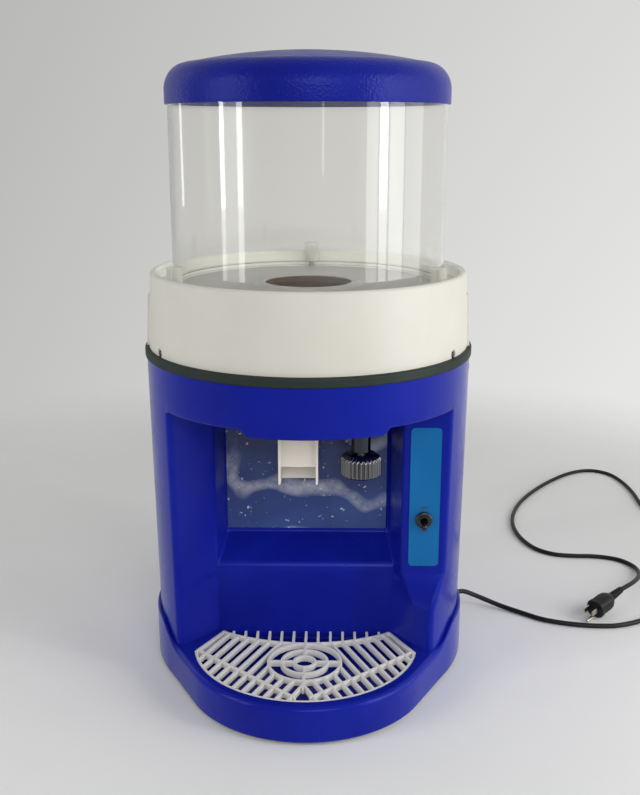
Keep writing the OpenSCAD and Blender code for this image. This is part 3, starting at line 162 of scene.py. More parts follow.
def merged(*parts):
    verts, faces = [], []
    for v, f in parts:
        base = len(verts)
        verts.extend(v)
        faces.extend(tuple(i + base for i in face) for face in f)
    return verts, faces


def even_normals(obj):
    """Lets the large faces lead the shading, so that flat and round walls stay clean."""
    even = obj.modifiers.new("even_normals", "WEIGHTED_NORMAL")
    even.keep_sharp = True
    even.weight = 90


def piece(name, shape, material, body="frame", nodes=(), sharp=35, place=metres):
    verts, faces = shape
    mesh = bpy.data.meshes.new(name)
    mesh.from_pydata([place(v) for v in verts], [], faces)
    bm = bmesh.new()
    bm.from_mesh(mesh)
    bmesh.ops.remove_doubles(bm, verts=bm.verts, dist=2e-6)
    bmesh.ops.dissolve_degenerate(bm, edges=bm.edges, dist=1e-7)
    bmesh.ops.recalc_face_normals(bm, faces=bm.faces)
    bm.to_mesh(mesh)
    bm.free()
    mesh.shade_smooth()
    mesh.set_sharp_from_angle(angle=math.radians(sharp))
    mesh.materials.append(material)
    obj = bpy.data.objects.new(name, mesh)
    bpy.context.scene.collection.objects.link(obj)
    even_normals(obj)
    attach(obj, body)
    if nodes:
        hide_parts(*nodes)
    return obj


# Materials, in metres


def srgb(r, g, b):
    def line(c):
        c /= 255
        return c / 12.92 if c <= 0.04045 else ((c + 0.055) / 1.055) ** 2.4
    return (line(r), line(g), line(b), 1.0)


# The part of a noise's range that colour and gloss follow
NOISE_LOW, NOISE_HIGH = 0.3, 0.7


class Graph:
    """A short way to write a material's nodes."""

    def __init__(self, name):
        self.material = bpy.data.materials.new(name)
        self.material.use_nodes = True
        self.tree = self.material.node_tree
        self.tree.nodes.clear()
        self.out = self.add("ShaderNodeOutputMaterial")
        self.shader = self.add("ShaderNodeBsdfPrincipled")
        self.link(self.shader.outputs[0], self.out.inputs["Surface"])
        self.coords = self.add("ShaderNodeTexCoord").outputs["Object"]

    def add(self, kind, **values):
        node = self.tree.nodes.new(kind)
        for key, value in values.items():
            setattr(node, key, value)
        return node

    def link(self, a, b):
        self.tree.links.new(a, b)

    def put(self, socket, value):
        if isinstance(value, bpy.types.NodeSocket):
            self.link(value, socket)
        else:
            socket.default_value = value

    def noise(self, scale, detail=3.0, rough=0.5, stretch=None):
        node = self.add("ShaderNodeTexNoise")
        node.inputs["Scale"].default_value = scale
        node.inputs["Detail"].default_value = detail
        node.inputs["Roughness"].default_value = rough
        self.link(self.scaled(stretch) if stretch else self.coords, node.inputs["Vector"])
        return node.outputs["Fac"]

    def scaled(self, factors):
        node = self.add("ShaderNodeMapping")
        node.inputs["Scale"].default_value = factors
        self.link(self.coords, node.inputs["Vector"])
        return node.outputs["Vector"]

    def cells(self, scale, feature="F1"):
        node = self.add("ShaderNodeTexVoronoi", feature=feature)
        node.inputs["Scale"].default_value = scale
        self.link(self.coords, node.inputs["Vector"])
        return node.outputs["Distance"]

    def span(self, value, low, high, start=0.0, end=1.0):
        node = self.add("ShaderNodeMapRange")
        self.put(node.inputs["Value"], value)
        node.inputs["From Min"].default_value = start
        node.inputs["From Max"].default_value = end
        node.inputs["To Min"].default_value = low
        node.inputs["To Max"].default_value = high
        return node.outputs["Result"]

    def math(self, how, a, b=0.0):
        node = self.add("ShaderNodeMath", operation=how)
        self.put(node.inputs[0], a)
        self.put(node.inputs[1], b)
        return node.outputs[0]

    def mix(self, fac, a, b):
        node = self.add("ShaderNodeMix", data_type="RGBA")
        self.put(node.inputs["Factor"], fac)
        self.put(node.inputs[6], a)
        self.put(node.inputs[7], b)
        return node.outputs[2]

    def blend(self, noise, dark, light):
        """A colour that drifts between two."""
        return self.mix(self.span(noise, 0.0, 1.0, NOISE_LOW, NOISE_HIGH), dark, light)

    def gloss(self, noise, low, high):
        """A roughness that drifts between two."""
        return self.span(noise, low, high, NOISE_LOW, NOISE_HIGH)

    def axis(self, name):
        node = self.add("ShaderNodeSeparateXYZ")
        self.link(self.coords, node.inputs[0])
        return node.outputs[name]

    def reach(self, vector):
        node = self.add("ShaderNodeVectorMath", operation="LENGTH")
        self.link(vector, node.inputs[0])
        return node.outputs["Value"]

    def see_through(self, share, colour=(1.0, 1.0, 1.0, 1.0)):
        """Lets a share of the light straight through."""
        clear = self.add("ShaderNodeBsdfTransparent")
        clear.inputs["Color"].default_value = colour
        both = self.add("ShaderNodeMixShader")
        self.put(both.inputs[0], share)
        self.link(self.shader.outputs[0], both.inputs[1])
        self.link(clear.outputs[0], both.inputs[2])
        self.link(both.outputs[0], self.out.inputs["Surface"])
        return self.material

    def bump(self, height, distance, strength=1.0):
        node = self.add("ShaderNodeBump")
        node.inputs["Strength"].default_value = strength
        node.inputs["Distance"].default_value = distance
        self.link(height, node.inputs["Height"])
        self.link(node.outputs[0], self.shader.inputs["Normal"])

    def set(self, **values):
        names = {
            "colour": "Base Color", "rough": "Roughness", "metal": "Metallic", "spec": "Specular IOR Level",
            "tint": "Specular Tint", "ior": "IOR", "transmission": "Transmission Weight",
            "coat": "Coat Weight", "coat_rough": "Coat Roughness",
        }
        for key, value in values.items():
            self.put(self.shader.inputs[names[key]], value)
        return self.material


# Scale, detail and roughness of the noises that several materials share
DRIFT, SHINE, DUST = (9.0, 4.0, 0.55), (38.0, 5.0, 0.65), (420.0, 2.0, 0.6)
DUST_COLOUR = (0.8, 0.8, 0.78, 1.0)


def moulded(name, dark, light, rough, grain=900.0, grain_depth=0.00004,
            metal=0.0, specks=0.0, spec=0.5, tint=None):
    """Moulded plastic, rubber or cast metal: drifting colour, uneven gloss and a fine surface grain."""
    g = Graph(name)
    colour = g.blend(g.noise(*DRIFT), dark, light)
    if specks:
        dust = g.span(g.noise(*DUST), 0.0, specks, 0.66, 0.78)
        colour = g.mix(dust, colour, DUST_COLOUR)
    g.bump(g.noise(grain, 2.0), grain_depth)
    if tint:
        g.set(tint=tint)
    return g.set(colour=colour, rough=g.gloss(g.noise(*SHINE), *rough), metal=metal, spec=spec)


def brushed(name, dark, light, rough, stretch=(30.0, 30.0, 900.0)):
    """Turned or brushed metal with fine lines."""
    g = Graph(name)
    lines = g.noise(1.0, 3.0, 0.6, stretch)
    colour = g.mix(g.span(lines, 0.0, 1.0, 0.35, 0.65), dark, light)
    g.bump(lines, 0.00002, 0.6)
    return g.set(colour=colour, rough=g.gloss(lines, *rough), metal=1.0)


BLUE_SHEEN = (0.22, 0.28, 1.0, 1.0)
LID_SHEEN = (0.36, 0.42, 1.0, 1.0)
BLUE = moulded("blue_body", srgb(14, 25, 136), srgb(19, 33, 152), (0.18, 0.27), 650.0, 0.00002,
               specks=0.02, spec=0.36, tint=BLUE_SHEEN)
IVORY = moulded("ivory_grate", srgb(226, 223, 215), srgb(240, 238, 233), (0.42, 0.55), 700.0)
CREAM = moulded("cream_collar", srgb(211, 208, 197), srgb(218, 216, 206), (0.40, 0.52), 520.0, 0.00003)
CHUTE = moulded("warm_white", srgb(229, 222, 207), srgb(239, 234, 222), (0.35, 0.5), 800.0)
RUBBER = moulded("band_rubber", srgb(17, 29, 25), srgb(28, 42, 36), (0.5, 0.68), 1100.0, 0.00006,
                 specks=0.05, spec=0.3)
BLACK = moulded("black_plastic", srgb(12, 12, 13), srgb(22, 21, 22), (0.16, 0.265), 1200.0, 0.00001)
LEAD = moulded("lead_black", srgb(13, 13, 14), srgb(24, 24, 25), (0.36, 0.52), 1500.0, spec=0.25)
TEAL = moulded("teal_plate", srgb(2, 97, 158), srgb(6, 109, 172), (0.285, 0.34), 900.0, 0.00001, spec=0.2)
CHROME = moulded("chrome", srgb(46, 51, 59), srgb(62, 67, 75), (0.08, 0.16), 300.0, 0.000004, metal=1.0)
SMOKED = moulded("smoked_chrome", srgb(92, 92, 96), srgb(116, 116, 119), (0.14, 0.24), 300.0, 0.000004,
                 metal=1.0)
STEEL = brushed("plain_steel", srgb(150, 152, 158), srgb(190, 191, 195), (0.28, 0.42), (300.0, 40.0, 40.0))
SCREW = brushed("screw_steel", srgb(70, 70, 72), srgb(110, 110, 112), (0.3, 0.45), (400.0, 400.0, 80.0))
CAST = moulded("cast_aluminium", srgb(150, 152, 156), srgb(182, 184, 188), (0.34, 0.5), 380.0, 0.0001,
               metal=1.0)
MOTOR = moulded("motor_paint", srgb(40, 44, 50), srgb(58, 62, 68), (0.35, 0.5), 600.0)
BRASS = brushed("pin_metal", srgb(178, 170, 150), srgb(214, 206, 184), (0.18, 0.265), (500.0, 500.0, 500.0))
STAINED = moulded("stained_drum", srgb(168, 122, 48), srgb(192, 142, 62), (0.4, 0.55), 380.0, 0.0001,
                  metal=0.3, spec=0.2)
INK = moulded("dark_ink", srgb(48, 14, 52), srgb(64, 22, 66), (0.5, 0.6), 900.0)


def lid_material():
    """Blue plastic with a pebbled, leather-like grain."""
    g = Graph("blue_lid")
    colour = g.blend(g.noise(7.0, 4.0, 0.55), srgb(14, 23, 123), srgb(19, 31, 138))
    pebble = g.cells(400.0, "SMOOTH_F1")
    crumple = g.math("MULTIPLY", g.noise(220.0, 2.0), 0.5)
    g.bump(g.math("ADD", pebble, crumple), 0.0004, 0.9)
    return g.set(colour=colour, rough=g.gloss(g.noise(30.0, 4.0), 0.285, 0.36), spec=0.24, tint=LID_SHEEN)


def clear_material():
    """Clear tube with faint rubbed haze; shadows pass through it."""
    g = Graph("clear_tube")
    haze = g.span(g.noise(26.0, 5.0, 0.7, (1.0, 1.0, 0.25)), 0.01, 0.07, 0.35, 0.75)
    g.bump(g.noise(14.0, 2.0), 0.0003, 0.45)
    g.set(colour=(0.965, 0.96, 0.94, 1.0), rough=haze, ior=1.46, transmission=1.0, coat=0.6, coat_rough=0.09)
    shadow = g.add("ShaderNodeLightPath").outputs["Is Shadow Ray"]
    return g.see_through(shadow, (0.94, 0.95, 0.95, 1.0))


# Heights of the picture panel
PANEL_LOW, PANEL_HIGH = 0.165, 0.330


def picture_material():
    """A generic frosty print: dark blue ground, a pale drifting wisp and scattered flecks."""
    g = Graph("frost_print")
    x, z = g.axis("X"), g.axis("Z")
    colour = g.mix(g.span(z, 0.0, 1.0, PANEL_LOW, PANEL_HIGH), srgb(26, 58, 128), srgb(8, 24, 82))
    lean = g.math("ADD", g.math("MULTIPLY", x, 16.0), g.math("MULTIPLY", z, 62.0))
    warp = g.math("MULTIPLY", g.noise(9.0, 2.0), 13.0)
    sweep = g.math("SINE", g.math("ADD", lean, warp))
    grain = g.span(g.noise(70.0, 6.0, 0.7), 0.35, 1.0, 0.35, 0.6)
    wisp = g.math("MULTIPLY", g.span(sweep, 0.0, 0.9, 0.55, 1.0), grain)
    colour = g.mix(wisp, colour, srgb(176, 180, 194))
    glow = g.span(g.noise(13.0), 0.0, 0.5, 0.5, 0.75)
    colour = g.mix(glow, colour, srgb(52, 96, 160))
    fleck = g.span(g.noise(170.0, 2.0), 0.0, 0.75, 0.68, 0.73)
    colour = g.mix(fleck, colour, srgb(214, 218, 226))
    g.bump(g.noise(500.0, 2.0), 0.00002)
    return g.set(colour=colour, rough=g.gloss(g.noise(40.0), 0.285, 0.36))


MILKY_SHARE = 0.38


def milky_material():
    """Milky plastic that lets some of what is behind it through."""
    g = Graph("milky_nut")
    colour = g.blend(g.noise(60.0), srgb(204, 202, 190), srgb(220, 218, 207))
    g.bump(g.noise(700.0, 2.0), 0.00002)
    g.set(colour=colour, rough=g.gloss(g.noise(90.0), 0.285, 0.36))
    return g.see_through(MILKY_SHARE)


# Where the brown of the ice hole, stain and painted shade, fades: outwards from the axis, then by height,
# then the heights where the painted shade under the lip turns to a brighter brown lower down
STAIN_SHADE_OUT, STAIN_SHADE_UP, STAIN_SHADE_DEEP = (0.0570, 0.0576), (0.4650, 0.4662), (0.4600, 0.4650)


def hopper_material():
    """Grey plastic, brown down the wall of its ice hole for the stained drum below, with painted shade just
    under the lip and painted light further down.
    """
    g = Graph("hopper_grey")
    grey = g.blend(g.noise(*DRIFT), srgb(162, 160, 153), srgb(171, 169, 162))
    flat = g.add("ShaderNodeMapping")
    flat.inputs["Location"].default_value = (0.0, -AXIS_Y * MM, 0.0)
    flat.inputs["Scale"].default_value = (1.0, 1.0, 0.0)
    g.link(g.coords, flat.inputs["Vector"])
    z = g.axis("Z")
    near = g.span(g.reach(flat.outputs["Vector"]), 1.0, 0.0, *STAIN_SHADE_OUT)
    under = g.span(z, 1.0, 0.0, *STAIN_SHADE_UP)
    # Painted shade and light: dark brown just under the lip, turning lower down to a brighter brown painted
    # against the hole's shade.
    stain_and_shade = g.mix(g.span(z, 1.0, 0.0, *STAIN_SHADE_DEEP), srgb(38, 27, 10), srgb(128, 90, 32))
    g.bump(g.noise(500.0, 2.0), 0.00001)
    return g.set(colour=g.mix(g.math("MULTIPLY", near, under), grey, stain_and_shade),
                 rough=g.gloss(g.noise(*SHINE), 0.34, 0.40), spec=0.2)


FLOOR_GREY = hopper_material()
LID = lid_material()
NUT = milky_material()
CLEAR = clear_material()
PICTURE = picture_material()

SLOT_MATERIALS = {
    "blue_plastic": BLUE, "white_plastic": CREAM, "grey_plastic": FLOOR_GREY, "ivory_plastic": IVORY,
    "clear_plastic": CLEAR, "picture_print": PICTURE, "teal_plate": TEAL, "rubber": RUBBER,
    "black_plastic": BLACK, "chrome": CHROME, "dark_chrome": SMOKED, "steel": STEEL, "screw_steel": SCREW,
    "cast_aluminium": CAST, "motor_paint": MOTOR, "brass": BRASS,
}
NODE_MATERIALS = {"ice_chute": CHUTE, "shaving_drum": STAINED, "impeller": STAINED}
for part in frame["record"]["subparts"]:
    node = frame["nodes"][part["node"]]
    material = NODE_MATERIALS.get(part["node"], SLOT_MATERIALS[part["material_slot"]])
    node.data.materials.clear()
    node.data.materials.append(material)


def soften(name, width, angle, segments):
    """Rounds the edges of a carried-over solid with modifiers."""
    obj = frame["nodes"][name]
    weld = obj.modifiers.new("weld", "WELD")
    weld.merge_threshold = 0.00001
    bevel = obj.modifiers.new("bevel", "BEVEL")
    bevel.width = width * MM
    bevel.segments = segments
    bevel.limit_method = "ANGLE"
    bevel.angle_limit = math.radians(angle)
    even_normals(obj)


for name, width, angle, segments in (
    ("collar_ring", 1.2, 30, 3), ("drip_grate", 0.5, 35, 2), ("ice_chute", 0.7, 35, 3),
    ("rubber_feet", 0.5, 35, 2), ("collar_screws", 0.4, 35, 2), ("body_screws", 0.4, 35, 2),
):
    soften(name, width, angle, segments)


# Camera, in metres and degrees

CAMERA_PLACE, CAMERA_DIP, CAMERA_TURN = (0.0322, -1.1643, 0.6424), 15.02, 0.89
camera_data = bpy.data.cameras.new("camera")
camera_data.sensor_width = 36.0
camera_data.lens = 45.62
camera = bpy.data.objects.new("camera", camera_data)
camera.location = CAMERA_PLACE
camera.rotation_euler = (math.radians(90 - CAMERA_DIP), 0.0, math.radians(CAMERA_TURN))
bpy.context.scene.collection.objects.link(camera)
bpy.context.scene.camera = camera


# Mains lead, on the same route as its solid, in millimetres from the object's origin

LEAD_R = 3.2
LIE_Z = 3.3
BASE_R = 192.8
GLAND_DEG, GLAND_Z, GLAND_LEN = 23.0, 24.0, 24.0
GLAND_TIP_R = BASE_R + GLAND_LEN
GLAND_DIR = Vector((*polar(1.0, math.radians(GLAND_DEG)), 0.0))
lead_exit = Vector((0.0, AXIS_Y, GLAND_Z)) + GLAND_DIR * GLAND_TIP_R
ROUTE_ON_TABLE = [
    (286, 89), (310, 71), (335, 61), (362, 55), (388, 53), (412, 56), (444, 70), (484, 98), (524, 145),
    (556, 210), (576, 285), (583, 360), (576, 430), (568, 495), (570, 560), (566, 617), (552, 662),
    (522, 681), (484, 668), (442, 630), (398, 575), (360, 513), (336, 452), (327, 398), (331, 347),
    (346, 307), (370, 286), (398, 280), (424, 279), (446, 275), (465, 266), (477, 251),
]
ROUTE_DOWN = [(210, 113, 23), (230, 116, 14), (258, 107, 5.5)]
ROUTE_UP = [
    (482, 232, 4.5), (479, 208, 8), (470, 182, 13.5), (457, 157, 19), (443, 137, 22.5), (428, 122, 23),
]
ROUTE_START = (198, 108)
route_points = ROUTE_DOWN + [(x, y, LIE_Z) for x, y in ROUTE_ON_TABLE] + ROUTE_UP
route_shift = Vector((lead_exit.x - ROUTE_START[0], lead_exit.y - ROUTE_START[1], 0.0))
route = [lead_exit] + [Vector(p) + route_shift for p in route_points]


def spline(points, steps):
    """A smooth line through points, with a number of steps between each two."""
    out = []
    for i in range(len(points) - 1):
        a, b = points[max(i - 1, 0)], points[i]
        c, d = points[i + 1], points[min(i + 2, len(points) - 1)]
        for k in range(steps):
            t = k / steps
            out.append(0.5 * (2 * b + (c - a) * t + (2 * a - 5 * b + 4 * c - d) * t * t
                              + (3 * b - a - 3 * c + d) * t ** 3))
    return out + [points[-1]]


lead_line = spline(route, 8)
curve = bpy.data.curves.new("mains_lead", "CURVE")
curve.dimensions = "3D"
curve.bevel_depth = LEAD_R * MM
curve.bevel_resolution = 5
curve.use_fill_caps = True
stretch = curve.splines.new("POLY")
stretch.points.add(len(lead_line) - 1)
for point, place in zip(stretch.points, lead_line):
    point.co = (place.x * MM, place.y * MM, place.z * MM, 1.0)
curve.materials.append(LEAD)
lead = bpy.data.objects.new("mains_lead", curve)
bpy.context.scene.collection.objects.link(lead)
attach(lead, "frame")
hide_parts("power_cord")
lead_length = sum((b - a).length for a, b in zip(lead_line, lead_line[1:])) * MM


def along(origin, direction):
    """Places (across, up, along) points, in millimetres in the object's frame, on an axis."""
    side = direction.cross(Vector((0.0, 0.0, 1.0))).normalized()
    up = side.cross(direction)

    def place(v):
        return (origin + side * v[0] + up * v[1] + direction * v[2]) * MM
    return place


# Gland: a ribbed strain relief

GLAND_INSET, GLAND_HOLE_R = 13.0, 7.0
GLAND_RIBS, GLAND_RIB_STEP, GLAND_RIB_R, GLAND_TAPER = 5, 3.9, 6.4, 1.75
gland_profile = [(0.0, -GLAND_INSET), (GLAND_HOLE_R, -GLAND_INSET), (GLAND_HOLE_R, 0.4)]
gland_profile += [(9.4, 0.4), (10.0, 1.0), (10.0, 2.3), (9.4, 2.9), (6.5, 3.0)]
for i in range(GLAND_RIBS):
    z = 4.0 + GLAND_RIB_STEP * i
    r = GLAND_RIB_R - GLAND_TAPER * z / GLAND_LEN
    gland_profile += [(r, z), (r, z + 2.2), (r - 0.8, z + 2.5), (r - 0.85, z + 3.5)]
gland_profile += [(4.6, 23.6), (4.3, GLAND_LEN), (LEAD_R, GLAND_LEN)]
gland_place = along(Vector((0.0, AXIS_Y, GLAND_Z)) + GLAND_DIR * BASE_R, GLAND_DIR)
gland = piece("strain_relief", lathe(gland_profile, 48), BLACK, nodes=("cord_gland",),
              place=gland_place)

# Plug: ribbed boot, moulded body and three pins

PLUG_TURN, PLUG_TILT = math.radians(223.0), math.radians(8.0)
PLUG_DIR = Vector((*polar(math.cos(PLUG_TILT), PLUG_TURN), -math.sin(PLUG_TILT)))
PLUG_SIDES, BOOT_RIBS, BOOT_RIB_STEP, BOOT_R, BOOT_TAPER = 48, 6, 4.1, 4.4, 0.26
BOOT_RIB = ((0.0, 0.0), (2.4, 0.15), (2.7, -0.7), (3.8, -0.6))
# Along, half width, half height and how square each row of the plug's body is
PLUG_ROWS = (
    (25.5, 6.0, 6.0, 1.0), (27.5, 7.4, 7.2, 0.95), (31, 9.8, 9.2, 0.85), (35, 11.6, 10.6, 0.78),
    (40, 12.1, 11.0, 0.72), (50, 12.0, 10.8, 0.7), (56, 11.6, 10.6, 0.68), (57, 12.1, 11.6, 0.66),
    (62.6, 12.2, 11.9, 0.66), (63.6, 11.8, 11.5, 0.66), (64.0, 11.0, 10.8, 0.66),
)
plug_place = along(route[-1], PLUG_DIR)


def plug_row(z, half_w, half_h, square=1.0):
    row = []
    for i in range(PLUG_SIDES):
        c, s = polar(1.0, TAU * i / PLUG_SIDES)
        x, y = math.copysign(abs(c) ** square, c), math.copysign(abs(s) ** square, s)
        row.append((half_w * x, half_h * y, z))
    return row


plug_rows = []
for i in range(BOOT_RIBS):
    r = BOOT_R + BOOT_TAPER * i
    for step, swell in BOOT_RIB:
        plug_rows.append(plug_row(0.6 + BOOT_RIB_STEP * i + step, r + swell, r + swell))
plug_rows += [plug_row(*row) for row in PLUG_ROWS]
plug = piece("plug", loft(plug_rows, cap_first=True, cap_last=True), LEAD, nodes=("plug_body",),
             place=plug_place)

PIN_FOOT_Z, PIN_SPREAD, PIN_RISE = 63.5, 6.35, 3.0
EARTH_DROP, EARTH_R, EARTH_SIDES = 11.9, 2.4, 24


def blade(x):
    rows = []
    for z, w, h in ((PIN_FOOT_Z, 0.75, 3.2), (78.4, 0.75, 3.2), (80.0, 0.7, 2.7), (81.0, 0.35, 1.9)):
        low, high = PIN_RISE - h, PIN_RISE + h
        rows.append([(x + w, high, z), (x - w, high, z), (x - w, low, z), (x + w, low, z)])
    return loft(rows, cap_first=True, cap_last=True)


def earth_pin():
    rows = []
    for z, share in ((PIN_FOOT_Z, 1.0), (80.0, 1.0), (81.6, 0.85), (82.6, 0.5), (83.0, 0.15)):
        ring = [polar(EARTH_R * share, TAU * i / EARTH_SIDES) for i in range(EARTH_SIDES)]
        rows.append([(x, PIN_RISE - EARTH_DROP + y, z) for x, y in ring])
    return loft(rows, cap_first=True, cap_last=True)


pins = piece("plug_prongs", merged(blade(-PIN_SPREAD), blade(PIN_SPREAD), earth_pin()), BRASS,
             nodes=("plug_pins",), place=plug_place)


# Body with its serving bay: one skin from the deck to the bay's ceiling

SHELF_Z, SHELF_RISE, SHELF_R = 132.0, 29.0, (0, 16.0, 5.0, 0)
TAPER_Z, CONTROL_Z, CONTROL_Y = 96.5, 136.5, -98.0
LOW_Y, UP_Y = -67.0, -30.0
BAY_LEFT_LOW, BAY_LEFT_UP = (-109.0, LOW_Y), (-100.0, UP_Y)
BAY_RIGHT_FOOT, BAY_RIGHT_LOW, BAY_RIGHT_UP = (101.0, LOW_Y), (104.0, LOW_Y), (98.0, UP_Y)
CONTROL_FOOT, CONTROL_EDGE = (126.0, -103.0), (110.0, CONTROL_Y)
JAMB_RUN, FOOT_RUN = (-45.0, -47.0), (20.0, -18.0)
BAY_CORNER_R = [7.0, 12.0, 6.0, 6.0, 10.0, 5.0, 7.0]
# Length of wall kept free of points beside each jamb, for its round corner
JAMB_EASE = 16.0
ARC_STEPS = 128


def on_circle(start, run, radius):
    """Where a line from start along run leaves a circle about the axis."""
    a = run[0] ** 2 + run[1] ** 2
    b = 2 * (start[0] * run[0] + start[1] * run[1])
    c = start[0] ** 2 + start[1] ** 2 - radius ** 2
    t = (-b + math.sqrt(b * b - 4 * a * c)) / (2 * a)
    return (start[0] + run[0] * t, start[1] + run[1] * t)


SHELF_LINE = rounded(
    [(DECK_Z, LOW_Y), (SHELF_Z, LOW_Y), (SHELF_Z + SHELF_RISE, UP_Y), (BAY_TOP_Z, UP_Y)], SHELF_R, 8,
    closed=False)


def shelf_at(z):
    """How far the back wall has moved from its lower to its upper place at height z."""
    for (z0, y0), (z1, y1) in zip(SHELF_LINE, SHELF_LINE[1:]):
        if z <= z1:
            return (y0 + (y1 - y0) * (z - z0) / (z1 - z0) - LOW_Y) / (UP_Y - LOW_Y)
    return 1.0


def bay_corners(z):
    """Corners of the bay's wall at height z, from the left jamb round to the right jamb."""
    radius = body_r(z)
    shelf = shelf_at(z)
    control = clamp01((z - TAPER_Z) / (CONTROL_Z - TAPER_Z))
    a1 = BAY_LEFT_LOW
    a2 = lerp(a1, BAY_LEFT_UP, shelf)
    b1 = lerp(BAY_RIGHT_FOOT, BAY_RIGHT_LOW, control)
    b2 = lerp(b1, BAY_RIGHT_UP, shelf)
    c1 = lerp(CONTROL_FOOT, CONTROL_EDGE, control)
    left = on_circle(a1, JAMB_RUN, radius)
    low = angle_of(on_circle(CONTROL_FOOT, FOOT_RUN, radius))
    high = angle_of((math.sqrt(radius ** 2 - CONTROL_Y ** 2), CONTROL_Y))
    right = polar(radius, low + (high - low) * control)
    return [left, a1, a2, b2, b1, c1, right]


def body_row(z):
    radius = body_r(z)
    corners = bay_corners(z)
    first = angle_of(corners[-1]) + JAMB_EASE / radius
    last = angle_of(corners[0]) + TAU - JAMB_EASE / radius
    arc = [polar(radius, a) for a in spread(first, last, ARC_STEPS)]
    return [(x, y, z) for x, y in rounded(corners + arc, BAY_CORNER_R + [0.0] * len(arc), 6)]


body_levels = {46, 48, 60, 80, 93, 100, 106, 112, 175, 200, 240, 280, 310, 330}
body_levels |= {TAPER_Z, CONTROL_Z - 2, CONTROL_Z, CONTROL_Z + 2} | {z for z, _ in SHELF_LINE}
wrap = loft([body_row(float(z)) for z in sorted(body_levels)])

top_corners = bay_corners(BAY_TOP_Z)
left_angle, right_angle = angle_of(top_corners[0]), angle_of(top_corners[-1])
BACK_LEVELS, FRONT_LEVELS = (BAY_TOP_Z, 350.0, 370.0, BODY_TOP_Z), (345.0, 355.0, 370.0, BODY_TOP_Z)
BACK_STEPS, FRONT_STEPS, CEILING_STEPS = 160, 150, 24


def back_row(z):
    return [(*polar(body_r(z), a), z) for a in spread(right_angle, left_angle + TAU, BACK_STEPS)]


upper_back = loft([back_row(z) for z in BACK_LEVELS], closed=False)

# Front strip above the opening, with the valance hanging from its middle

VALANCE_LEFT, VALANCE_RIGHT, VALANCE_DROP, VALANCE_RUN = -60.0, 84.0, 7.5, 9.0
EDGE_R, EDGE_DEPTH, EDGE_STEPS, EDGE_TUCK = 3.0, 8.0, 5, 0.5
CEILING_INSET = 4.0


def valance_z(x):
    left = smooth01((x - VALANCE_LEFT + VALANCE_RUN) / VALANCE_RUN)
    right = smooth01((VALANCE_RIGHT + VALANCE_RUN - x) / VALANCE_RUN)
    return BAY_TOP_Z - VALANCE_DROP * min(left, right)


front_columns = []
for a in spread(left_angle, right_angle, FRONT_STEPS):
    z0 = valance_z(body_r(BAY_TOP_Z) * math.cos(a))
    r0 = body_r(z0)
    column = [(r0 - EDGE_DEPTH, BAY_TOP_Z + EDGE_TUCK), (r0 - EDGE_DEPTH, z0), (r0 - EDGE_R, z0)]
    for t in spread(0.0, math.pi / 2, EDGE_STEPS)[1:]:
        column.append((r0 - EDGE_R + EDGE_R * math.sin(t), z0 + EDGE_R - EDGE_R * math.cos(t)))
    column += [(body_r(z), z) for z in FRONT_LEVELS]
    front_columns.append([(*polar(r, a), z) for r, z in column])
front = loft(front_columns, closed=False)

ceiling_r = body_r(BAY_TOP_Z) - CEILING_INSET
ceiling_line = [(x, y, BAY_TOP_Z) for x, y in top_corners]
ceiling_turns = spread(right_angle, left_angle, CEILING_STEPS)[1:-1]
ceiling_line += [(*polar(ceiling_r, a), BAY_TOP_Z) for a in ceiling_turns]
ceiling = (ceiling_line, [tuple(range(len(ceiling_line)))])
piece("body_and_bay", merged(wrap, upper_back, front, ceiling), BLUE, nodes=("body_shell", "serving_bay"),
      sharp=28)


# Base: outer wall with a round lip, deck, rim round the body and drip basin

LOBE_R, LOBE_Y, WAIST = 146.0, 96.0, 4.0
BACK_ARC_STEPS, LOBE_STEPS, OUTLINE_STEPS, WAIST_PASSES = 160, 96, 320, 10


def base_outline():
    """Outline of the base with the waist smoothed, at even steps."""
    tilt = math.degrees(math.asin((BASE_R - LOBE_R) / LOBE_Y))
    near, far = math.radians(tilt + WAIST), math.radians(tilt - WAIST)
    line = [polar(BASE_R, a) for a in spread(-near, math.pi + near, BACK_ARC_STEPS)]
    lobe = [polar(LOBE_R, a) for a in spread(math.pi + far, TAU - far, LOBE_STEPS)]
    line += [(x, y - LOBE_Y) for x, y in lobe]
    lengths = [math.dist(line[i], line[(i + 1) % len(line)]) for i in range(len(line))]
    even, i, walked = [], 0, 0.0
    for k in range(OUTLINE_STEPS):
        goal = sum(lengths) * k / OUTLINE_STEPS
        while walked + lengths[i] < goal:
            walked += lengths[i]
            i += 1
        even.append(lerp(line[i], line[(i + 1) % len(line)], (goal - walked) / lengths[i]))
    for _ in range(WAIST_PASSES):
        middles = [lerp(even[k - 1], even[(k + 1) % OUTLINE_STEPS], 0.5) for k in range(OUTLINE_STEPS)]
        even = [lerp(point, middle, 0.5) for point, middle in zip(even, middles)]
    return even


outline = base_outline()
normals = []
for k in range(len(outline)):
    a, b = outline[k - 1], outline[(k + 1) % len(outline)]
    d = Vector((b[0] - a[0], b[1] - a[1])).normalized()
    normals.append((d.y, -d.x))


def base_row(inset, height):
    return [(p[0] - n[0] * inset(p), p[1] - n[1] * inset(p), height(p)) for p, n in zip(outline, normals)]


RIM_SLOPE = (-114.0, -72.0)
LIP_R, RIM_LIP_R, LIP_FADE_Y, LIP_FADE = 7.0, 1.9, -126.0, 30.0
LIP_STEPS = 6
# Inset and height of the rows under the lip, then how far in the rim's top and inner wall lie at deck and rim
BASE_FOOT = ((3.0, 4.0), (0.9, 4.5), (0.0, 6.5), (0.0, 24.0))
RIM_TOP_IN, RIM_WALL_IN, RIM_ROUND = (1.0, 0.9), (1.4, 1.0), 0.3


def rise(p):
    return smooth01((p[1] - RIM_SLOPE[0]) / (RIM_SLOPE[1] - RIM_SLOPE[0]))


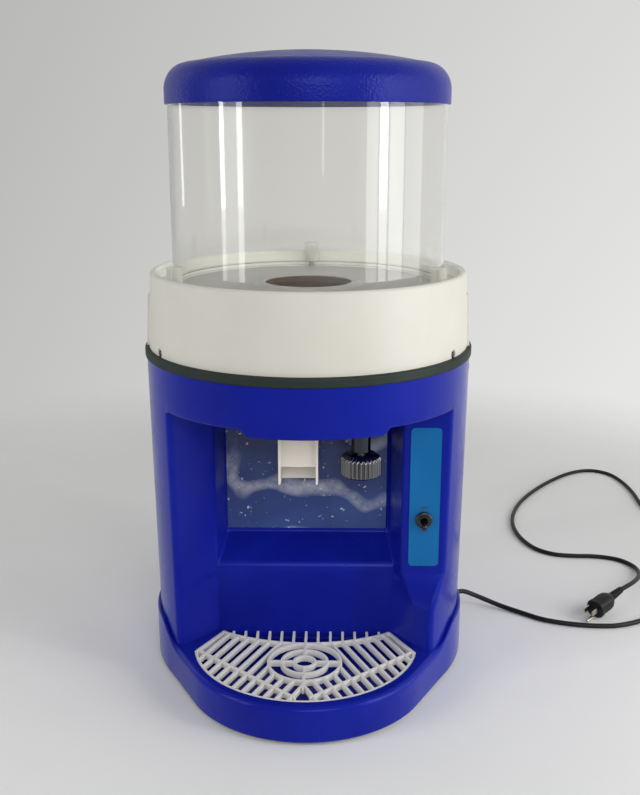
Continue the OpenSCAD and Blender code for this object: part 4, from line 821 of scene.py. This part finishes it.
def top_z(p):
    return DECK_Z + (RIM_Z - DECK_Z) * rise(p)


def lip(p):
    return LIP_R + (RIM_LIP_R - LIP_R) * smooth01((p[1] - LIP_FADE_Y) / LIP_FADE)


def rim_in(p, inset):
    return lip(p) + inset[0] + inset[1] * rise(p)


base_rows = [base_row(lambda p: inset, lambda p: z) for inset, z in BASE_FOOT]
for t in spread(0.0, math.pi / 2, LIP_STEPS):
    base_rows.append(base_row(lambda p: lip(p) * (1 - math.cos(t)),
                              lambda p: top_z(p) - lip(p) * (1 - math.sin(t))))
base_rows.append(base_row(lambda p: rim_in(p, RIM_TOP_IN), lambda p: top_z(p) - RIM_ROUND * rise(p)))
base_rows.append(base_row(lambda p: rim_in(p, RIM_WALL_IN), lambda p: DECK_Z))
wall = loft(base_rows)

GRATE_X, GRATE_Y, GRATE_R = -2.0, -94.0, 133.0
GRATE_BACK, GRATE_HALF, GRATE_LEAN = -69.0, 102.0, 0.566
GRATE_ARC_STEPS, GRATE_CORNER_R = 72, 3.0
# How far each row of the basin lies outside the grate, and its height
BASIN = (
    (1.6, DECK_Z), (1.1, DECK_Z - 0.3), (0.9, DECK_Z - 1.0), (0.8, 38.2), (-2.7, 37.9), (-3.2, 37.2),
    (-4.4, 24.0), (-7.0, 22.2), (-12.0, 22.0),
)


def grate_outline(grow):
    """Plan of the grate, grown outwards: a straight back, two leaning sides and a round front."""
    back = GRATE_BACK + grow
    lean_len = math.hypot(1.0, GRATE_LEAN)
    side_x = GRATE_HALF + grow * lean_len - GRATE_LEAN * grow
    radius = GRATE_R + grow
    a = 1 + GRATE_LEAN ** 2
    b = 2 * (GRATE_LEAN * side_x - (back - GRATE_Y))
    c = side_x ** 2 + (back - GRATE_Y) ** 2 - radius ** 2
    drop = (-b + math.sqrt(b * b - 4 * a * c)) / (2 * a)
    knee = (side_x + GRATE_LEAN * drop, back - drop)
    start = angle_of((knee[0], knee[1] - GRATE_Y))
    arc = [polar(radius, t) for t in spread(start, -math.pi - start, GRATE_ARC_STEPS)]
    line = [(side_x, back)] + [(x, GRATE_Y + y) for x, y in arc] + [(-side_x, back)]
    radii = [GRATE_CORNER_R] + [0.0] * len(arc) + [GRATE_CORNER_R]
    return rounded(line, radii, 4)


def grate_ring(grow, z):
    return [(GRATE_X + x, y, z) for x, y in grate_outline(grow)]


basin_rows = [grate_ring(grow, z) for grow, z in BASIN]
basin = loft(basin_rows, cap_last=True)


def flat_between(outer, inner):
    """A flat face between two closed lines."""
    bm = bmesh.new()
    edges = []
    for line in (outer, inner):
        ring = [bm.verts.new(p) for p in line]
        edges += [bm.edges.new((ring[i - 1], ring[i])) for i in range(len(ring))]
    bmesh.ops.triangle_fill(bm, use_beauty=True, use_dissolve=False, edges=edges)
    bm.verts.index_update()
    shape = ([tuple(v.co) for v in bm.verts], [tuple(v.index for v in f.verts) for f in bm.faces])
    bm.free()
    return shape


deck = flat_between(base_rows[-1], basin_rows[0])
piece("base", merged(wall, deck, basin), BLUE, nodes=("base_tray", "drip_pan"), sharp=40)


# Lid, band, barrel and hopper floor

LID_R, LID_INNER_R, LID_FOOT_Z, LID_T = 161.3, 159.0, 667.0, 2.4
# Middle of the shoulder's arc as radius and height, then its width and height
SHOULDER = (135.3, 682.0, 26.0, 29.0)
SHOULDER_STEPS, DOME_STEPS, DOME_RISE = 18, 24, 14.0
CREASE_DEPTH, CREASE_RUN = 0.5, 1.6
# The inner line stops short of the skirt by this many points
INNER_STOP = 4


def lid_line(inset):
    """Shoulder and dome of the lid, from the skirt to the middle."""
    cx, cz, w, h = SHOULDER
    line = [(cx + (w - inset) * math.cos(a), cz + (h - inset) * math.sin(a))
            for a in spread(0.0, math.pi / 2, SHOULDER_STEPS)]
    for i in range(1, DOME_STEPS + 1):
        k = 1 - i / DOME_STEPS
        crease = CREASE_DEPTH * math.exp(-(i / CREASE_RUN) ** 2)
        line.append((cx * k, cz + h - inset - crease + DOME_RISE * (1 - k * k)))
    return line


lid_profile = [(159.6, LID_FOOT_Z + 0.5), (160.2, LID_FOOT_Z), (160.9, LID_FOOT_Z + 0.15)]
lid_profile += [(LID_R, LID_FOOT_Z + up) for up in (0.8, 6, 11)]
lid_profile += lid_line(0.0) + lid_line(LID_T)[::-1][:-INNER_STOP]
lid_profile += [(LID_INNER_R, BARREL_TOP_Z - 2), (LID_INNER_R, LID_FOOT_Z + 1.2)]
piece("lid_shell", lathe(lid_profile, ROUND_STEPS), LID, body="lid", nodes=("lid",),
      sharp=50)

BAND_INNER_R, BAND_EDGE_R = 185.4, 2.2
band_profile = rounded(
    [(BAND_INNER_R, BODY_TOP_Z), (BAND_R, BODY_TOP_Z), (BAND_R, BAND_TOP_Z), (BAND_INNER_R, BAND_TOP_Z)],
    [0, BAND_EDGE_R, BAND_EDGE_R, 0], 6)
piece("band", lathe(band_profile, ROUND_STEPS, closed=True), RUBBER, nodes=("rubber_band",))

FLANGE_R, FLANGE_T, FLANGE_GAP = 175.4, 5.0, 0.15
BARREL_INNER_R, FLANGE_Z = BARREL_R - BARREL_T, HOPPER_Z + FLANGE_GAP
barrel_profile = rounded(
    [(BARREL_INNER_R, FLANGE_Z), (FLANGE_R, FLANGE_Z), (FLANGE_R, HOPPER_Z + FLANGE_T),
     (BARREL_R, HOPPER_Z + FLANGE_T), (BARREL_R, BARREL_TOP_Z), (BARREL_INNER_R, BARREL_TOP_Z)],
    [0.3, 0.6, 0.8, 2.0, 0.8, 0.8], 4)
piece("clear_barrel", lathe(barrel_profile, ROUND_STEPS, closed=True), CLEAR, nodes=("ice_barrel",))

HOPPER_R, HOPPER_LOW_Z, HOLE_R = 176.2, 458.0, 51.0
floor_profile = rounded(
    [(56.0, HOPPER_LOW_Z), (HOPPER_R, HOPPER_LOW_Z), (HOPPER_R, HOPPER_Z), (64.0, HOPPER_Z),
     (58.0, HOPPER_Z + 2.9), (HOLE_R, HOPPER_Z + 3.5), (HOLE_R, HOPPER_Z - 1.0)],
    [0.5, 0, 0.3, 5.0, 6.0, 1.6, 0.6], 6)
piece("hopper_plate", lathe(floor_profile, closed=True), FLOOR_GREY, nodes=("hopper_floor",))


# Thumb nuts and adjusting knob: fluted grips

TROUGH_R, NUT_R, NUT_Z, NUT_H, NUT_EDGE = 167.75, 8.85, 469.05, 25.0, 1.4
NUT_FLUTES, NUT_FLUTE_DEPTH = 20, 1.7
# Steps round each flute, and the share of a grip's radius inside which nothing is fluted
FLUTE_STEPS, FLUTE_FLOOR = 12, 0.6


def flutes(count, depth, low, high, radius, fade):
    """Grooves round a grip, fading out towards its two ends."""
    def shaped(a, r, z):
        if r < FLUTE_FLOOR * radius:
            return r
        ends = clamp01((z - low) / fade) * clamp01((high - z) / fade)
        return r - depth * ends * (0.5 - 0.5 * math.cos(count * a)) ** 1.6
    return shaped


def subdivided(profile, steps):
    """Adds points on the straight side of a grip so that the flutes can fade."""
    out = []
    for p, q in zip(profile, profile[1:]):
        out.append(p)
        if abs(p[0] - q[0]) < 1e-6 and abs(q[1] - p[1]) > 5:
            out += [lerp(p, q, i / steps) for i in range(1, steps)]
    return out + [profile[-1]]


nut_top_z = NUT_Z + NUT_H
nut_profile = subdivided(
    rounded([(0.0, NUT_Z), (NUT_R, NUT_Z), (NUT_R, nut_top_z), (0.0, nut_top_z)],
            [0, NUT_EDGE, NUT_EDGE, 0], 5, closed=False), 12)
nut_flutes = flutes(NUT_FLUTES, NUT_FLUTE_DEPTH, NUT_Z + 0.5, nut_top_z - 2.5, NUT_R, 2.0)
for name, degrees in (("back", 90.0), ("right", -30.0), ("left", 210.0)):
    grip = lathe(nut_profile, NUT_FLUTES * FLUTE_STEPS, polar(TROUGH_R, math.radians(degrees)),
                 radius_at=nut_flutes)
    piece(f"thumb_nut_{name}_grip", grip, NUT, body=f"nut_{name}", nodes=(f"thumb_nut_{name}",),
          sharp=60)

KNOB_X, KNOB_Y, KNOB_R, KNOB_Z, KNOB_H = 62.0, -92.0, 23.5, 256.0, 27.0
KNOB_FLUTES, KNOB_FLUTE_DEPTH = 28, 2.2
knob_profile = subdivided(
    rounded([(0.0, KNOB_Z + 2.5), (7.0, KNOB_Z + 2.5), (9.0, KNOB_Z), (19.5, KNOB_Z), (KNOB_R, KNOB_Z + 2.6),
             (KNOB_R, KNOB_Z + 21.5), (17.0, KNOB_Z + KNOB_H), (6.0, KNOB_Z + KNOB_H)],
            [0, 0.5, 0.8, 1.0, 1.2, 5.0, 4.0, 0], 8, closed=False), 10)
knob_flutes = flutes(KNOB_FLUTES, KNOB_FLUTE_DEPTH, KNOB_Z + 0.5, KNOB_Z + 24.5, KNOB_R, 3.0)
knob = lathe(knob_profile, KNOB_FLUTES * FLUTE_STEPS, (KNOB_X, KNOB_Y), radius_at=knob_flutes)
piece("knob_grip", knob, SMOKED, body="knob", nodes=("adjusting_knob",), sharp=60)

BUSH_Z, BUSH_R, BUSH_BORE_R, BUSH_GROOVE_R = 285.0, 11.0, 5.1, 10.4
bush_profile = rounded(
    [(BUSH_BORE_R, BUSH_Z), (BUSH_R, BUSH_Z), (BUSH_R, BAY_TOP_Z - 3.5), (BUSH_GROOVE_R, BAY_TOP_Z - 3.0),
     (BUSH_GROOVE_R, BAY_TOP_Z - 2.2), (BUSH_R, BAY_TOP_Z - 1.7), (BUSH_R, BAY_TOP_Z - 0.1),
     (BUSH_BORE_R, BAY_TOP_Z - 0.1)],
    [0, 1.2, 0.3, 0.2, 0.2, 0.3, 0.2, 0], 4)
piece("bush", lathe(bush_profile, 96, (KNOB_X, KNOB_Y), closed=True), CHROME, nodes=("knob_bush",))


# Control plate, switch and its two words

PLATE_X, PLATE_Z, PLATE_W, PLATE_H, PLATE_T = 135.7, 230.75, 35.0, 168.5, 1.2
PLATE_CORNER_R = 5.0
# Inset and depth below the plate's face of its front edge
PLATE_EDGE = ((0.0, 0.35), (0.12, 0.1), (0.4, 0.0))
SWITCH_X, SWITCH_Z = 135.2, 204.5


def plate_row(inset, depth):
    w, h = PLATE_W / 2 - inset, PLATE_H / 2 - inset
    line = rounded([(w, h), (-w, h), (-w, -h), (w, -h)], PLATE_CORNER_R - inset, 8)
    return [(PLATE_X + x, CONTROL_Y - depth, PLATE_Z + y) for x, y in line]


plate_rows = [plate_row(0.0, 0.0)] + [plate_row(inset, PLATE_T - below) for inset, below in PLATE_EDGE]
piece("switch_plate", loft(plate_rows, cap_first=True, cap_last=True), TEAL, nodes=("control_plate",))


def facing(x, z, y):
    """Places a turned shape so that its axis points out of the control face."""
    def place(v):
        return metres((x + v[0], y - v[2], z + v[1]))
    return place


RING_R, RING_BORE_R, RING_T, RING_FLUTES = 9.75, 5.9, 4.0, 40
ring_line = rounded(
    [(RING_BORE_R, 0.0), (RING_R, 0.0), (RING_R, 3.2), (8.4, RING_T), (RING_BORE_R, RING_T)],
    [0, 0.4, 1.0, 1.0, 0], 5)
ring = lathe(ring_line, 96, closed=True, radius_at=flutes(RING_FLUTES, 0.2, 0.2, 3.0, RING_R, 0.8))
piece("switch_ring", ring, BLACK, nodes=("switch_nut",),
      place=facing(SWITCH_X, SWITCH_Z, CONTROL_Y - PLATE_T), sharp=50)

LEVER_TILT = math.radians(12.0)


def lever_place(v):
    """Tips a turned shape down from the control face, about the switch's own axis."""
    forward, down = math.cos(LEVER_TILT), math.sin(LEVER_TILT)
    return metres((SWITCH_X + v[0], CONTROL_Y - v[2] * forward - v[1] * down,
                   SWITCH_Z - v[2] * down + v[1] * forward))


lever_line = [
    (0.0, -4.5), (2.4, -3.8), (4.0, -2.0), (4.5, 0.0), (4.0, 2.0), (2.6, 3.6), (2.1, 5.0), (2.1, 8.0),
    (2.5, 11.5), (3.0, 14.6), (3.2, 16.2), (3.1, 17.4), (2.5, 18.5), (1.4, 19.1), (0.0, 19.2),
]
piece("switch_lever", lathe(lever_line, 48), BLACK, body="lever", nodes=("toggle_lever",),
      place=lever_place, sharp=60)


WORD_SIZE, WORD_NARROW, WORD_STEP, WORD_T, WORD_LIFT = 7.0, 0.78, 14.5, 0.06, 0.05


def word(name, text, x, z):
    data = bpy.data.curves.new(name, "FONT")
    data.body = text
    data.size = WORD_SIZE * MM
    data.align_x = "CENTER"
    data.align_y = "CENTER"
    data.extrude = WORD_T * MM
    data.materials.append(INK)
    obj = bpy.data.objects.new(name, data)
    obj.location = metres((x, CONTROL_Y - PLATE_T - WORD_LIFT, z))
    obj.rotation_euler = (math.pi / 2, 0.0, 0.0)
    obj.scale = (WORD_NARROW, 1.0, 1.0)
    bpy.context.scene.collection.objects.link(obj)
    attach(obj, "frame")


word("word_on", "ON", SWITCH_X, SWITCH_Z + WORD_STEP)
word("word_off", "OFF", SWITCH_X, SWITCH_Z - WORD_STEP)


# Floor, light and background, in metres

# How far from the middle the floor starts to fade and where it is gone, and half its width
FLOOR_NEAR, FLOOR_FAR, FLOOR_HALF = 0.7, 1.5, 3.0


def floor_material():
    """Pale table that fades into the background away from the object."""
    g = Graph("pale_floor")
    colour = g.blend(g.noise(3.0, 4.0, 0.55), srgb(239, 239, 237), srgb(244, 244, 242))
    g.bump(g.noise(300.0, 2.0), 0.00004)
    g.set(colour=colour, rough=g.gloss(g.noise(20.0, 4.0), 0.55, 0.7), spec=0.25)
    away = g.add("ShaderNodeMapRange", interpolation_type="SMOOTHSTEP")
    g.link(g.reach(g.coords), away.inputs["Value"])
    away.inputs["From Min"].default_value = FLOOR_NEAR
    away.inputs["From Max"].default_value = FLOOR_FAR
    return g.see_through(away.outputs["Result"])


floor_mesh = bpy.data.meshes.new("floor")
floor_corners = ((-1, -1), (1, -1), (1, 1), (-1, 1))
floor_mesh.from_pydata([(x * FLOOR_HALF, y * FLOOR_HALF, 0) for x, y in floor_corners], [], [(0, 1, 2, 3)])
floor = bpy.data.objects.new("floor", floor_mesh)
bpy.context.scene.collection.objects.link(floor)
floor_mesh.materials.append(floor_material())


def softbox(name, degrees, distance, width, low, high, radiance):
    """An upright light that faces the axis. Degrees run from the front towards the right."""
    a = math.radians(degrees)
    place = Vector((distance * math.sin(a), -distance * math.cos(a), (low + high) / 2))
    data = bpy.data.lights.new(name, "AREA")
    data.shape = "RECTANGLE"
    data.size, data.size_y = width, high - low
    data.energy = radiance * math.pi * data.size * data.size_y
    light = bpy.data.objects.new(name, data)
    light.visible_transmission = False
    light.location = place
    light.rotation_euler = Vector((-place.x, -place.y, 0.0)).to_track_quat("-Z", "Y").to_euler()
    bpy.context.scene.collection.objects.link(light)


# Each bright strip is weaker near the table, so its streak on the barrel fades downwards.
BOX_LOW, BOX_MID, BOX_TOP = 0.06, 0.42, 1.82
for light in (
    ("key_core", 62.0, 2.0, 0.26, BOX_MID, BOX_TOP, 9.6),
    ("key_core_foot", 62.0, 2.0, 0.26, BOX_LOW, BOX_MID, 4.2),
    ("key_left", 52.0, 2.0, 0.34, BOX_LOW, BOX_TOP, 2.6),
    ("key_right", 74.5, 2.0, 0.5, BOX_LOW, BOX_TOP, 3.5),
    ("key_glow", 93.0, 2.0, 0.7, BOX_LOW, BOX_TOP, 1.3),
    ("fill_core", -68.0, 2.0, 0.14, BOX_MID, BOX_TOP, 10.5),
    ("fill_core_foot", -68.0, 2.0, 0.14, BOX_LOW, BOX_MID, 2.6),
    ("fill_inner", -52.0, 2.0, 0.17, BOX_MID, BOX_TOP, 6.4),
    ("fill_inner_foot", -52.0, 2.0, 0.17, BOX_LOW, BOX_MID, 3.4),
    ("fill_glow", -60.0, 2.15, 0.8, BOX_LOW, BOX_TOP, 1.1),
    ("side", -118.0, 2.0, 0.14, BOX_MID, BOX_TOP, 2.2),
    ("strip", 13.0, 2.3, 0.06, 0.5, 1.6, 2.4),
    ("front", 10.0, 2.0, 1.2, 0.9, 1.7, 4.7),
):
    softbox(*light)

# The room's own light is dim in front and pale behind. The camera, mirrors and clear pieces see a plain wall
# that is lighter on the right.
ROOM_FRONT, ROOM_BACK, ROOM_FROM, ROOM_TO = 0.13, 0.60, -0.3, 0.7
WALL_LEFT, WALL_RIGHT, WALL_REACH = 0.49, 0.77, 0.36
FALL_LOW, FALL_HIGH, FALL_FROM, FALL_TO = 1.08, 0.94, -0.25, 0.12
WALL_COLOUR = (1.0, 1.0, 0.99, 1.0)
world = bpy.data.worlds.new("studio")
bpy.context.scene.world = world
world.use_nodes = True
tree = world.node_tree
direction = tree.nodes.new("ShaderNodeTexCoord")
axes = tree.nodes.new("ShaderNodeSeparateXYZ")
tree.links.new(direction.outputs["Generated"], axes.inputs[0])


def world_span(value, low, high, start, end):
    node = tree.nodes.new("ShaderNodeMapRange")
    tree.links.new(value, node.inputs["Value"])
    for key, number in (("From Min", start), ("From Max", end), ("To Min", low), ("To Max", high)):
        node.inputs[key].default_value = number
    return node.outputs["Result"]


def world_math(how, a, b):
    node = tree.nodes.new("ShaderNodeMath")
    node.operation = how
    tree.links.new(a, node.inputs[0])
    tree.links.new(b, node.inputs[1])
    return node.outputs[0]


room = world_span(axes.outputs["Y"], ROOM_FRONT, ROOM_BACK, ROOM_FROM, ROOM_TO)
across = world_span(axes.outputs["X"], WALL_LEFT, WALL_RIGHT, -WALL_REACH, WALL_REACH)
fall = world_span(axes.outputs["Z"], FALL_LOW, FALL_HIGH, FALL_FROM, FALL_TO)
wall_light = world_math("MULTIPLY", across, fall)
ray = tree.nodes.new("ShaderNodeLightPath").outputs
seen = world_math("MAXIMUM", ray["Is Camera Ray"], ray["Is Transmission Ray"])
mirrored = world_math("MAXIMUM", seen, ray["Is Glossy Ray"])
choice = tree.nodes.new("ShaderNodeMix")
tree.links.new(mirrored, choice.inputs["Factor"])
tree.links.new(room, choice.inputs[2])
tree.links.new(wall_light, choice.inputs[3])
tree.nodes["Background"].inputs["Color"].default_value = WALL_COLOUR
tree.links.new(choice.outputs[0], tree.nodes["Background"].inputs["Strength"])
bpy.context.scene.view_settings.view_transform = "Standard"
